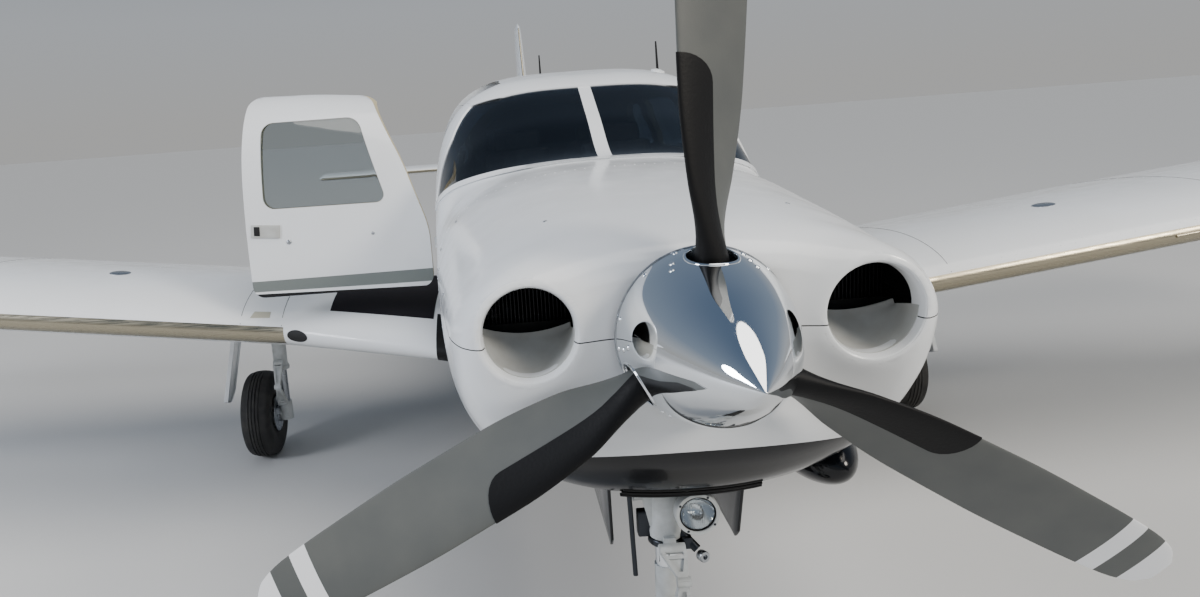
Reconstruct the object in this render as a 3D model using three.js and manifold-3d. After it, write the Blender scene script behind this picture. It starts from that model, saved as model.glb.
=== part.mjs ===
// A light aircraft: single engine, low tapered wing, retractable landing gear shown down,
// all-moving tailplane, starboard cabin door standing open.
// Millimetres. +X is port (the left wing), +Y is aft, +Z is up, and the wheels stand on Z = 0.
// Inside the aircraft group a point is (x, s, z), where s is the distance aft of the spinner's tip.
import * as THREE from 'three';
import { mergeVertices } from 'three/addons/utils/BufferGeometryUtils.js';
import Module from 'manifold-3d';

const wasm = await Module();
wasm.setup();

// Driving dimensions
const LENGTH = 7520;
const HALF_SPAN = 5400;
const GAP = 0.3; // between pieces that rest on each other
const RUN = 6; // between pieces that move past each other
const AROUND = 24; // points round a fuselage section
const ROUND = 12; // sides of a round bar

const COWL_FRONT = 395;
const FIREWALL = 1300;
const BULKHEAD = 4300;
const PLATE = 12; // firewall and rear bulkhead
const TAIL_END = 7300;
const COWL_WALL = 15;
const CABIN_WALL = 35;
const TAIL_WALL = 20;
const GLASS = 8;
const COWL_SEAM = 1210;
const FLOOR_TOP = 750;
const ROOF_SEAM = 1716;

const THRUST_HEIGHT = 1215;
const BLADE_STATION = 317;
const BLADE_RADIUS = 1050;
const SPINNER_LENGTH = 370;
const SPINNER_RADIUS = 175;
const SPINNER_WALL = 6;

const INLET_X = 341;
const INLET_HEIGHT = 1228;
const INLET_RADIUS = 89;

const ENGINE_FRONT = 620;
const ENGINE_BACK = 1180;
const ENGINE_HALF_WIDTH = 400;
const ENGINE_BOTTOM = 1050;
const ENGINE_TOP = 1340;

const MAIN_TRACK = 3290;
const MAIN_STATION = 2980;
const MAIN_TYRE_RADIUS = 222;
const NOSE_STATION = 655;
const NOSE_TYRE_RADIUS = 178;

const DOOR_HINGE_STATION = 2047;
const DOOR_HINGE_X = -617;
const DOOR_OPEN = 90; // degrees

// Fuselage sections: station, half width, bottom, widest height, top, lower and upper roundness
const FUSELAGE = [
  [395, 380, 1000, 1200, 1342, 2.3, 2.2],
  [410, 450, 945, 1200, 1372, 2.3, 2.2],
  [440, 487, 895, 1195, 1395, 2.3, 2.2],
  [520, 512, 812, 1190, 1420, 2.3, 2.3],
  [700, 542, 748, 1180, 1445, 2.5, 2.4],
  [1000, 577, 690, 1165, 1468, 2.7, 2.5],
  [1300, 600, 645, 1155, 1487, 2.9, 2.6],
  [1600, 611, 615, 1150, 1500, 3.0, 2.6],
  [1900, 614, 605, 1160, 1640, 3.1, 3.0],
  [2200, 616, 600, 1175, 1778, 3.1, 3.5],
  [2300, 617, 600, 1178, 1803, 3.1, 3.6],
  [2500, 618, 600, 1180, 1822, 3.1, 3.6],
  [2800, 618, 602, 1180, 1834, 3.1, 3.6],
  [3300, 608, 612, 1180, 1832, 3.0, 3.4],
  [3700, 585, 635, 1180, 1815, 2.9, 3.1],
  [4300, 505, 705, 1182, 1735, 2.8, 2.8],
  [5200, 355, 835, 1186, 1565, 2.6, 2.5],
  [6200, 205, 960, 1190, 1420, 2.4, 2.3],
  [7000, 105, 1050, 1190, 1325, 2.2, 2.2],
  [7300, 60, 1095, 1195, 1288, 2.0, 2.0],
];
const STATIONS = [
  395, 410, 440, 520, 620, 780, 1000, 1300, 1600, 1900, 2100, 2200, 2300, 2500, 2800, 3300, 3700, 4300,
  4750, 5200, 6200, 7000, 7300,
];

// Wing sections: x, leading edge station, chord, leading edge height, thickness over chord
const WING = [
  [400, 1760, 1940, 757, 0.125],
  [640, 1850, 1850, 781, 0.13],
  [1275, 2105, 1595, 850, 0.15],
  [2740, 2120, 1570, 1030, 0.145],
  [5150, 2395, 1090, 1326, 0.125],
  [5290, 2425, 1020, 1343, 0.11],
  [5365, 2490, 880, 1355, 0.08],
  [HALF_SPAN, 2600, 640, 1365, 0.03],
];
const WING_TAPER_X = 2740;
const INCIDENCE = Math.tan(THREE.MathUtils.degToRad(2));

// Side outlines in the (s, z) plane
const WINDSCREEN = [
  [1585, 1508], [1660, 1482], [1750, 1442], [1895, 1362], [1977, 1456], [2049, 1582], [2130, 1670],
  [2160, 1704], [2118, 1728], [2112, 1900], [1500, 1900], [1500, 1575],
];
const DECK = [[1312.3, 1240], [1900, 1240], [1925, 1300], [1650, 1600], [1312.3, 1600]];
const FRONT_DOOR = [
  [2070, 1018], [2072, 1250], [2105, 1355], [2160, 1520], [2283, 1780], [2500, 1800], [2765, 1806],
  [2780, 1530], [2788, 1250], [2788, 1018],
];
const DOOR_WINDOW = [[2228, 1365], [2325, 1697], [2700, 1697], [2708, 1368]];
const MIDDLE_WINDOW = [[2830, 1388], [2830, 1690], [3430, 1685], [3470, 1388]];
const REAR_WINDOW = [[3570, 1392], [3545, 1670], [3800, 1645], [3950, 1400]];
const BAGGAGE_DOOR = [[3620, 990], [3620, 1320], [4150, 1320], [4150, 990]];
const CORNER = 45;

// Finishes
const paint = (colour, roughness = 0.25, metalness = 0) =>
  new THREE.MeshStandardMaterial({ color: colour, roughness, metalness });
const finish = {
  white: paint(0xf1f3f5),
  navy: paint(0x14171f),
  chrome: paint(0xe8ebee, 0.06, 1),
  blade: paint(0x4b4e4d, 0.5),
  steel: paint(0x9b9fa3, 0.35, 1),
  casting: paint(0x9aa0a3, 0.5, 0.2),
  tyre: paint(0x1b1b1c, 0.85),
  glass: paint(0x2b3036, 0.05),
  lens: paint(0xdfe6ea, 0.05),
  leather: paint(0x8d8577, 0.6),
  panel: paint(0x26282b, 0.7),
  engine: paint(0x33363a, 0.7, 0.4),
};

// Solids: every shape becomes a closed mesh that can be joined and cut
function solid(geometry) {
  const bare = geometry.clone();
  bare.deleteAttribute('normal');
  bare.deleteAttribute('uv');
  const merged = mergeVertices(bare, 1e-4);
  const corners = merged.index.array;
  const points = merged.attributes.position.array;
  const triangles = [];
  let volume = 0;
  for (let i = 0; i < corners.length; i += 3) {
    const [a, b, c] = [corners[i], corners[i + 1], corners[i + 2]];
    if (a === b || b === c || c === a) {
      continue;
    }
    triangles.push(a, b, c);
    const [p, q, r] = [a, b, c].map((k) => new THREE.Vector3().fromArray(points, 3 * k));
    volume += p.dot(q.cross(r));
  }
  if (volume < 0) {
    triangles.reverse();
  }
  return new wasm.Manifold(new wasm.Mesh({
    numProp: 3,
    vertProperties: new Float32Array(points),
    triVerts: new Uint32Array(triangles),
  }));
}

function geometryOf(manifold) {
  const mesh = manifold.getMesh();
  const geometry = new THREE.BufferGeometry();
  geometry.setAttribute('position', new THREE.BufferAttribute(new Float32Array(mesh.vertProperties), 3));
  geometry.setIndex(new THREE.BufferAttribute(new Uint32Array(mesh.triVerts), 1));
  geometry.computeVertexNormals();
  return geometry;
}

const join = (...parts) => parts.reduce((whole, part) => whole.add(part));
const cut = (whole, ...tools) => tools.reduce((rest, tool) => rest.subtract(tool), whole);

// The largest of the separate pieces that a cut leaves
function largest(manifold) {
  const pieces = manifold.decompose();
  return pieces.reduce((best, piece) => (piece.volume() > best.volume() ? piece : best));
}

function box(low, high) {
  const size = high.map((value, i) => value - low[i]);
  const middle = high.map((value, i) => (value + low[i]) / 2);
  return solid(new THREE.BoxGeometry(...size).translate(...middle));
}

// A round bar or cone from one point to another
function rod(from, to, radius, endRadius = radius, sides = ROUND) {
  const [a, b] = [from, to].map((point) => new THREE.Vector3(...point));
  const along = b.clone().sub(a);
  const geometry = new THREE.CylinderGeometry(endRadius, radius, along.length(), sides);
  const turn = new THREE.Quaternion().setFromUnitVectors(new THREE.Vector3(0, 1, 0), along.normalize());
  geometry.applyQuaternion(turn);
  geometry.translate(...a.add(b).multiplyScalar(0.5));
  return solid(geometry);
}

// A turned piece about the thrust line: profile rows are radius, station
function turned(profile, sides = 28) {
  const points = profile.map(([radius, station]) => new THREE.Vector2(radius, station));
  return solid(new THREE.LatheGeometry(points, sides));
}

// A turned piece about an axle along X: profile rows are radius, distance along the axle
function wheelTurned(profile, centre, sides = 24) {
  const points = profile.map(([radius, along]) => new THREE.Vector2(radius, along));
  points.push(points[0].clone());
  return solid(new THREE.LatheGeometry(points, sides).rotateZ(-Math.PI / 2).translate(...centre));
}

// Moves each edge of a closed outline outwards
function grown(outline, distance) {
  const area = outline.reduce((sum, [x, y], i) => {
    const [nx, ny] = outline[(i + 1) % outline.length];
    return sum + x * ny - nx * y;
  }, 0);
  const sign = Math.sign(area) * distance;
  return outline.map((point, i) => {
    const before = outline.at(i - 1);
    const after = outline[(i + 1) % outline.length];
    const normals = [[before, point], [point, after]].map(([p, q]) => {
      const length = Math.hypot(q[0] - p[0], q[1] - p[1]);
      return [(q[1] - p[1]) / length, (p[0] - q[0]) / length];
    });
    const [n, m] = normals;
    const scale = sign / (1 + n[0] * m[0] + n[1] * m[1]);
    return [point[0] + (n[0] + m[0]) * scale, point[1] + (n[1] + m[1]) * scale];
  });
}

function outlineShape(outline, corner) {
  const shape = new THREE.Shape();
  outline.forEach((point, i) => {
    const before = new THREE.Vector2(...outline.at(i - 1));
    const after = new THREE.Vector2(...outline[(i + 1) % outline.length]);
    const here = new THREE.Vector2(...point);
    const towards = (other) => here.clone().lerp(other, Math.min(corner / here.distanceTo(other), 0.45));
    const start = towards(before);
    const end = towards(after);
    if (i === 0) {
      shape.moveTo(start.x, start.y);
    } else {
      shape.lineTo(start.x, start.y);
    }
    if (corner > 0) {
      shape.quadraticCurveTo(here.x, here.y, end.x, end.y);
    }
  });
  return shape;
}

// An outline in the (s, z) plane, carried across from x = low to x = high
function acrossPrism(outline, low, high, corner = 0) {
  const geometry = new THREE.ExtrudeGeometry(outlineShape(outline, corner), {
    depth: high - low,
    bevelEnabled: false,
    curveSegments: 2,
  });
  const sideways = new THREE.Matrix4().makeBasis(
    new THREE.Vector3(0, 1, 0), new THREE.Vector3(0, 0, 1), new THREE.Vector3(1, 0, 0));
  return solid(geometry.applyMatrix4(sideways).translate(low, 0, 0));
}

// An outline in the (x, s) plane, carried up from z = low to z = high
function uprightPrism(outline, low, high) {
  const depth = high - low;
  const geometry = new THREE.ExtrudeGeometry(outlineShape(outline, 0), { depth, bevelEnabled: false });
  return solid(geometry.translate(0, 0, low));
}

// A skin through equal rings of points, closed at both ends
function loft(rings) {
  const count = rings[0].length;
  const points = rings.flat();
  const faces = [];
  for (let i = 0; i + 1 < rings.length; i += 1) {
    for (let j = 0; j < count; j += 1) {
      const a = i * count + j;
      const b = i * count + ((j + 1) % count);
      faces.push(a, b, b + count, a, b + count, a + count);
    }
  }
  [[0, 1], [rings.length - 1, -1]].forEach(([ring, turn]) => {
    const middle = new THREE.Vector3();
    rings[ring].forEach((point) => middle.addScaledVector(point, 1 / count));
    const centre = points.push(middle) - 1;
    for (let j = 0; j < count; j += 1) {
      const pair = [ring * count + j, ring * count + ((j + 1) % count)];
      faces.push(centre, ...(turn > 0 ? pair.reverse() : pair));
    }
  });
  const geometry = new THREE.BufferGeometry();
  const numbers = points.flatMap((point) => point.toArray());
  geometry.setAttribute('position', new THREE.Float32BufferAttribute(numbers, 3));
  geometry.setIndex(faces);
  return solid(geometry);
}

// Smooth values between table rows, with no overshoot
function between(rows, at) {
  const passed = rows.filter((row) => row[0] <= at).length;
  const i = Math.max(0, Math.min(rows.length - 2, passed - 1));
  const slope = (k, column) => (rows[k + 1][column] - rows[k][column]) / (rows[k + 1][0] - rows[k][0]);
  const tangent = (k, column) => {
    if (k === 0) {
      return slope(0, column);
    }
    if (k === rows.length - 1) {
      return slope(k - 1, column);
    }
    const [before, after] = [slope(k - 1, column), slope(k, column)];
    return before * after <= 0 ? 0 : (2 * before * after) / (before + after);
  };
  const span = rows[i + 1][0] - rows[i][0];
  const t = (at - rows[i][0]) / span;
  const ease = 3 * t ** 2 - 2 * t ** 3;
  const blend = [1 - ease, t ** 3 - 2 * t ** 2 + t, ease, t ** 3 - t ** 2];
  return rows[0].map((_, column) => (column === 0 ? at
    : blend[0] * rows[i][column] + blend[1] * span * tangent(i, column)
    + blend[2] * rows[i + 1][column] + blend[3] * span * tangent(i + 1, column)));
}

// One fuselage section, moved inwards by inset
function section(station, inset) {
  const [s, width, bottom, widest, top, lowerRound, upperRound] = between(FUSELAGE, station);
  return Array.from({ length: AROUND }, (_, i) => {
    const angle = (2 * Math.PI * (i + 0.5)) / AROUND;
    const [across, up] = [Math.cos(angle), Math.sin(angle)];
    const power = 2 / (up > 0 ? upperRound : lowerRound);
    const height = up > 0 ? top - inset - widest : widest - bottom - inset;
    return new THREE.Vector3(
      Math.sign(across) * (width - inset) * Math.abs(across) ** power,
      s,
      widest + Math.sign(up) * height * Math.abs(up) ** power);
  });
}

// The fuselage's outer form, or an inner one, between two stations
function form(inset, from, to) {
  const inside = STATIONS.filter((station) => station > from + 1 && station < to - 1);
  return loft([from, ...inside, to].map((station) => section(station, inset)));
}

// Aerofoil across one chord, from the trailing edge over the top to the nose and back below.
// The camber line is 2% high at 40% of the chord.
const CHORD_STEPS = 8;
const CAMBER = 0.02;
const CAMBER_PLACE = 0.4;
const halfThickness = (x, thickness) => 5 * thickness
  * (0.2969 * Math.sqrt(x) - 0.126 * x - 0.3516 * x ** 2 + 0.2843 * x ** 3 - 0.1015 * x ** 4);
function camberLine(x, camber) {
  const rise = 2 * CAMBER_PLACE * x - x ** 2;
  return x < CAMBER_PLACE
    ? (camber * rise) / CAMBER_PLACE ** 2
    : (camber * (1 - 2 * CAMBER_PLACE + rise)) / (1 - CAMBER_PLACE) ** 2;
}
function aerofoil(chord, thickness, camber = CAMBER) {
  const fractions = Array.from(
    { length: CHORD_STEPS + 1 },
    (_, i) => (1 + Math.cos((Math.PI * i) / CHORD_STEPS)) / 2);
  const surface = (sign) => (x) => [
    x * chord,
    (camberLine(x, camber) + sign * halfThickness(x, thickness)) * chord,
  ];
  return [...fractions.map(surface(1)), ...fractions.slice(0, -1).reverse().map(surface(-1))];
}

// Height of the wing's middle surface at a place on the wing
function wingMiddle(rows, x, s) {
  const k = Math.max(0, Math.min(rows.length - 2, rows.findIndex((row) => row[0] >= x) - 1));
  const t = (x - rows[k][0]) / (rows[k + 1][0] - rows[k][0]);
  const mixed = rows[k].map((value, i) => value + t * (rows[k + 1][i] - value));
  const [, lead, chord, height, thickness] = mixed;
  const share = (s - lead) / chord;
  return {
    height: height + camberLine(share, CAMBER) * chord - (s - lead) * INCIDENCE,
    half: halfThickness(share, thickness) * chord,
  };
}

function wingLoft(rows, side) {
  return loft(rows.map(([x, lead, chord, height, thickness]) => aerofoil(chord, thickness)
    .map(([back, up]) => new THREE.Vector3(side * x, lead + back, height + up - back * INCIDENCE))));
}

const aircraft = new THREE.Group();
aircraft.position.y = -LENGTH / 2;
const whole = new THREE.Group();
whole.add(aircraft);

function node(name, manifold, material, parent = aircraft) {
  const mesh = new THREE.Mesh(geometryOf(manifold), material);
  mesh.name = name;
  parent.add(mesh);
  return mesh;
}

// Space that is everything below, above or between planes
const FAR = 9000;
const below = (z) => box([-FAR, -FAR, -FAR], [FAR, FAR, z]);
const above = (z) => box([-FAR, -FAR, z], [FAR, FAR, FAR]);
const aft = (s) => box([-FAR, s, -FAR], [FAR, FAR, FAR]);

// Splits a solid at an outline, leaving a gap round the piece that comes out
function split(manifold, outline, low, high, gap, corner) {
  return [
    manifold.intersect(acrossPrism(outline, low, high, corner)),
    manifold.subtract(acrossPrism(grown(outline, gap), low - gap, high + gap, corner)),
  ];
}

// Hinge knuckles: the fixed piece holds the two outer barrels and the moving one the middle barrel
const KNUCKLE_RADIUS = 9;
const KNUCKLE_LENGTH = 40;
function knuckles(fixed, moving, x, s, heights) {
  const barrel = (low, high, radius) => rod([x, s, low], [x, s, high], radius, radius, 12);
  heights.forEach((z) => {
    const [lower, upper] = [z, z + KNUCKLE_LENGTH];
    const outer = [[lower - KNUCKLE_LENGTH, lower - GAP], [upper + GAP, upper + KNUCKLE_LENGTH]];
    fixed = fixed.subtract(barrel(lower - GAP, upper + GAP, KNUCKLE_RADIUS + 2));
    outer.forEach(([low, high]) => {
      moving = moving.subtract(barrel(low - 5, high + GAP, KNUCKLE_RADIUS + 2));
      fixed = fixed.add(barrel(low, high, KNUCKLE_RADIUS));
    });
    moving = moving.add(barrel(lower, upper, KNUCKLE_RADIUS));
  });
  return [fixed, moving];
}

// Propeller
const spinnerOuter = [
  [0, 0], [21, 22], [52.5, 58], [92.5, 120], [133.5, 200], [159.5, 280], [172, 340],
  [SPINNER_RADIUS, SPINNER_LENGTH],
];
const spinnerInner = [
  [SPINNER_RADIUS - SPINNER_WALL, SPINNER_LENGTH], [164, 330], [127, 200], [44, 60], [0, 14],
];
const onThrustLine = (manifold) => manifold.translate([0, 0, THRUST_HEIGHT]);
const PROPELLER_TURN = 1.5; // degrees from upright, as the propeller was left standing
const bladeAngles = [0, 120, 240].map((degrees) => degrees + PROPELLER_TURN);
const turnedTo = (manifold, degrees) => manifold
  .translate([0, 0, -THRUST_HEIGHT]).rotate([0, degrees, 0]).translate([0, 0, THRUST_HEIGHT]);

const BLADE_HOLE = 50;
const [holeStart, holeEnd] = [90, 260].map((radius) => [0, BLADE_STATION, THRUST_HEIGHT + radius]);
const bladeHole = rod(holeStart, holeEnd, BLADE_HOLE);
node('spinner', cut(onThrustLine(turned([...spinnerOuter, ...spinnerInner])),
  ...bladeAngles.map((degrees) => turnedTo(bladeHole, degrees))), finish.chrome);

// The hub, the plate that carries the spinner, and the shaft back to the engine
const HUB_RADIUS = 72;
const HUB_FRONT = 250;
const BACKPLATE = { radius: 167, front: 358, back: 366 };
const SHAFT = { radius: 40, collar: 60, collarBack: 390, back: ENGINE_FRONT - GAP };
node('propeller_hub', onThrustLine(turned([
  [0, HUB_FRONT], [HUB_RADIUS, HUB_FRONT], [HUB_RADIUS, BACKPLATE.front],
  [BACKPLATE.radius, BACKPLATE.front], [BACKPLATE.radius, BACKPLATE.back],
  [SHAFT.collar, BACKPLATE.back], [SHAFT.collar, SHAFT.collarBack], [SHAFT.radius, SHAFT.collarBack],
  [SHAFT.radius, SHAFT.back], [0, SHAFT.back],
])), finish.steel);

// Blade sections: radius, chord, thickness, blade angle in degrees, how round the section is
const BLADE = [
  [60, 66, 66, 62, 1],
  [150, 68, 62, 60, 1],
  [215, 96, 46, 52, 0.5],
  [315, 148, 32, 43, 0.1],
  [472, 171, 24, 34, 0],
  [630, 171, 18, 28, 0],
  [819, 158, 13, 23, 0],
  [966, 137, 10, 20, 0],
  [1024, 105, 8, 19, 0],
  [BLADE_RADIUS, 53, 5, 18, 0],
];
const BLADE_POINTS = 14;
function bladeRing([radius, chord, thickness, degrees, round]) {
  const angle = THREE.MathUtils.degToRad(degrees);
  return Array.from({ length: BLADE_POINTS }, (_, i) => {
    const turn = (2 * Math.PI * i) / BLADE_POINTS;
    const along = (Math.cos(turn) * chord) / 2;
    const blunt = THREE.MathUtils.lerp(0.62 + 0.38 * Math.cos(turn), 1, round);
    const outwards = (Math.sin(turn) * blunt * thickness) / 2;
    return new THREE.Vector3(
      -along * Math.cos(angle) + outwards * Math.sin(angle),
      BLADE_STATION - along * Math.sin(angle) - outwards * Math.cos(angle),
      THRUST_HEIGHT + radius);
  });
}
const hubBarrel = onThrustLine(turned([
  [0, HUB_FRONT - 50], [HUB_RADIUS + GAP, HUB_FRONT - 50],
  [HUB_RADIUS + GAP, BACKPLATE.front - GAP], [0, BACKPLATE.front - GAP],
]));
bladeAngles.forEach((degrees, i) => {
  const blade = turnedTo(loft(BLADE.map(bladeRing)), degrees);
  node(`propeller_blade_${i + 1}`, cut(blade, hubBarrel), finish.blade);
});

// Cowl: two halves that part at the seam through the inlets
const INLET_LIP = 24;
const INLET_WALL = 8;
const inletProfile = [
  [INLET_RADIUS, 388], [INLET_RADIUS + 6, 380], [INLET_RADIUS + 16, 380], [INLET_RADIUS + INLET_LIP, 392],
  [INLET_RADIUS + INLET_LIP, 430], [INLET_RADIUS + INLET_WALL, 470],
  [INLET_RADIUS + INLET_WALL, 560], [INLET_RADIUS, 560], [INLET_RADIUS, 388],
].map(([radius, s]) => new THREE.Vector2(radius, s));
const inletRing = (x) => solid(new THREE.LatheGeometry(inletProfile, 24).translate(x, 0, INLET_HEIGHT));
const inletHole = (x) => rod(
  [x, 350, INLET_HEIGHT], [x, 540, INLET_HEIGHT], INLET_RADIUS + 4, INLET_RADIUS + 4, 28);
const inlets = [-INLET_X, INLET_X];
const SHAFT_HOLE = 150;
const shaftHole = rod([0, 380, THRUST_HEIGHT], [0, 450, THRUST_HEIGHT], SHAFT_HOLE, SHAFT_HOLE, 32);
const COWL_INSIDE = 425; // where the hollow behind the front wall starts
const cowlSkin = cut(form(0, COWL_FRONT, FIREWALL - GAP), form(COWL_WALL, COWL_INSIDE, FIREWALL + 100));
const cowlShell = join(cut(cowlSkin, shaftHole, ...inlets.map(inletHole)), ...inlets.map(inletRing));
const NOSE_WELL = { halfWidth: 150, from: 575, to: 1285, low: 500, high: 960 };
const noseWell = box(
  [-NOSE_WELL.halfWidth, NOSE_WELL.from, NOSE_WELL.low],
  [NOSE_WELL.halfWidth, NOSE_WELL.to, NOSE_WELL.high]);
node('cowl_upper', cowlShell.intersect(above(COWL_SEAM + GAP / 2)), finish.white);
const SCOOP = { size: [95, 270, 90], centre: [365, 850, 800] };
const scoop = solid(new THREE.SphereGeometry(1, 24, 12).scale(...SCOOP.size).translate(...SCOOP.centre))
  .subtract(form(5, COWL_FRONT, FIREWALL));
const cowlLower = cut(cowlShell.intersect(below(COWL_SEAM - GAP / 2)), noseWell);
node('cowl_lower', cowlLower.add(largest(scoop)), finish.white);

// Engine and firewall
const engineBlock = box(
  [-ENGINE_HALF_WIDTH, ENGINE_FRONT, ENGINE_BOTTOM],
  [ENGINE_HALF_WIDTH, ENGINE_BACK, ENGINE_TOP]);
node('engine_block', engineBlock, finish.engine);
const ENGINE_MOUNT = { x: 300, heights: [1100, 1290], radius: 18 };
const engineMounts = [-1, 1].flatMap((side) => ENGINE_MOUNT.heights.map((z) => rod(
  [side * ENGINE_MOUNT.x, ENGINE_BACK + GAP, z],
  [side * ENGINE_MOUNT.x, FIREWALL + 2, z],
  ENGINE_MOUNT.radius)));
node('firewall', join(form(0, FIREWALL, FIREWALL + PLATE), ...engineMounts), finish.steel);

// Cabin
const cabinFront = FIREWALL + PLATE + GAP;
const cabinForm = form(0, cabinFront, BULKHEAD - GAP);
node('cabin_floor', cabinForm.intersect(below(FLOOR_TOP)), finish.navy);
let shell = cut(cabinForm, form(CABIN_WALL, cabinFront - 50, BULKHEAD + 50), below(FLOOR_TOP + GAP));
const pane = cabinForm.subtract(form(GLASS, cabinFront - 50, BULKHEAD + 50));

const POST_HALF = 24;
const POST_WALL = 28;
shell = shell.subtract(acrossPrism(grown(WINDSCREEN, GAP), -FAR, FAR));
const windscreen = acrossPrism(WINDSCREEN, -FAR, FAR);
const glass = pane.intersect(windscreen);
node('windscreen_left', glass.intersect(box([POST_HALF + GAP, 0, 0], [FAR, FAR, FAR])), finish.glass);
node('windscreen_right', glass.intersect(box([-FAR, 0, 0], [-POST_HALF - GAP, FAR, FAR])), finish.glass);
const postSlice = box([-POST_HALF, 0, 0], [POST_HALF, FAR, FAR]);
const post = cabinForm.subtract(form(POST_WALL, cabinFront - 50, BULKHEAD + 50));
node('windscreen_post', post.intersect(windscreen).intersect(postSlice), finish.white);

const [deck, afterDeck] = split(shell, DECK, -FAR, FAR, GAP);
node('forward_deck', largest(deck), finish.white);
shell = afterDeck;

// Side windows: name, outline, which side
const windowTable = [
  ['left_front_window', DOOR_WINDOW, 1],
  ['left_middle_window', MIDDLE_WINDOW, 1],
  ['left_rear_window', REAR_WINDOW, 1],
  ['right_middle_window', MIDDLE_WINDOW, -1],
  ['right_rear_window', REAR_WINDOW, -1],
];
const sideRange = (side) => (side > 0 ? [200, FAR] : [-FAR, -200]);
windowTable.forEach(([name, outline, side]) => {
  const [low, high] = sideRange(side);
  node(name, pane.intersect(acrossPrism(outline, low, high, CORNER)), finish.glass);
  shell = shell.subtract(acrossPrism(grown(outline, GAP), low, high, CORNER));
});

const DOOR_HINGE_HEIGHTS = [1090, 1190];
const DOOR_EDGE = FRONT_DOOR[0][0];
const doorParts = split(shell, FRONT_DOOR, ...sideRange(-1), RUN, CORNER);
const doorGlass = pane.intersect(acrossPrism(DOOR_WINDOW, ...sideRange(-1), CORNER));
let door = doorParts[0].subtract(acrossPrism(grown(DOOR_WINDOW, GAP), ...sideRange(-1), CORNER));
shell = doorParts[1];
[shell, door] = knuckles(shell, door, DOOR_HINGE_X, DOOR_HINGE_STATION, DOOR_HINGE_HEIGHTS);

// A leaf from each of the door's barrels steps over the sill of the doorway and down on to the door
DOOR_HINGE_HEIGHTS.forEach((z) => {
  const outside = DOOR_HINGE_X - KNUCKLE_RADIUS;
  door = join(door,
    box([outside, DOOR_HINGE_STATION, z], [DOOR_HINGE_X, DOOR_EDGE + 4, z + KNUCKLE_LENGTH]),
    box([outside, DOOR_EDGE + 1, z], [DOOR_HINGE_X + 8, DOOR_EDGE + 22, z + KNUCKLE_LENGTH]));
});

const BAGGAGE_HINGE_STATION = 3615;
const BAGGAGE_HINGE_X = -between(FUSELAGE, BAGGAGE_HINGE_STATION)[1];
const BAGGAGE_HINGE_HEIGHTS = [1060, 1210];
let [baggage, aroundBaggage] = split(shell, BAGGAGE_DOOR, ...sideRange(-1), RUN, CORNER);
[shell, baggage] = knuckles(
  aroundBaggage, baggage, BAGGAGE_HINGE_X, BAGGAGE_HINGE_STATION, BAGGAGE_HINGE_HEIGHTS);
node('baggage_door', baggage, finish.white);

node('cabin_roof', largest(shell.intersect(above(ROOF_SEAM))), finish.white);
const sides = shell.subtract(above(ROOF_SEAM - GAP));
node('left_cabin_side', largest(sides.intersect(box([0, 0, 0], [FAR, FAR, FAR]))), finish.white);
node('right_cabin_side', largest(sides.intersect(box([-FAR, 0, 0], [0, FAR, FAR]))), finish.white);

const doorGroup = new THREE.Group();
doorGroup.position.set(DOOR_HINGE_X, DOOR_HINGE_STATION, 0);
doorGroup.rotation.z = THREE.MathUtils.degToRad(DOOR_OPEN);
const doorShift = new THREE.Group();
doorShift.position.set(-DOOR_HINGE_X, -DOOR_HINGE_STATION, 0);
doorGroup.add(doorShift);
aircraft.add(doorGroup);
node('front_door', door, finish.white, doorShift);
node('front_door_window', doorGlass, finish.glass, doorShift);

node('rear_bulkhead', form(0, BULKHEAD, BULKHEAD + PLATE), finish.panel);

// Inside the cabin
const cabinSpace = form(CABIN_WALL + GAP, cabinFront, BULKHEAD - 1);
const PANEL_STATION = 1985;
const PANEL_DEPTH = 40;
const YOKE_X = 255;
const YOKE_HEIGHT = 1215;
const YOKE = { shaft: 12, grip: 14, reach: 202, half: 110, low: -20, high: 90 };
const PANEL = {
  low: 1010, high: 1395, shelfHalf: 430, shelfFront: 1700, shelfBottom: 1375, shelfOver: 30,
};
const PEDESTAL = { half: 120, depth: 150, top: 1050 };
const yokes = [-YOKE_X, YOKE_X].flatMap((x) => {
  const grips = PANEL_STATION + YOKE.reach;
  return [
    rod([x, PANEL_STATION + 10, YOKE_HEIGHT], [x, grips + 8, YOKE_HEIGHT], YOKE.shaft),
    box([x - YOKE.half, grips - 12, YOKE_HEIGHT - YOKE.grip],
      [x + YOKE.half, grips + 13, YOKE_HEIGHT + YOKE.grip]),
    ...[-1, 1].map((end) => rod(
      [x + end * (YOKE.half - 10), grips, YOKE_HEIGHT + YOKE.low],
      [x + end * (YOKE.half + 10), grips, YOKE_HEIGHT + YOKE.high],
      YOKE.grip)),
  ];
});
const PANEL_BACK = PANEL_STATION + PANEL_DEPTH;
const instrumentPanel = join(
  cabinSpace.intersect(box([-FAR, PANEL_STATION, PANEL.low], [FAR, PANEL_BACK, PANEL.high])),
  cabinSpace.intersect(box(
    [-PANEL.shelfHalf, PANEL.shelfFront, PANEL.shelfBottom],
    [PANEL.shelfHalf, PANEL_BACK + PANEL.shelfOver, PANEL.high])),
  box([-PEDESTAL.half, PANEL_STATION, FLOOR_TOP + GAP],
    [PEDESTAL.half, PANEL_STATION + PEDESTAL.depth, PEDESTAL.top]),
  ...yokes);
node('instrument_panel', instrumentPanel, finish.panel);

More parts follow.
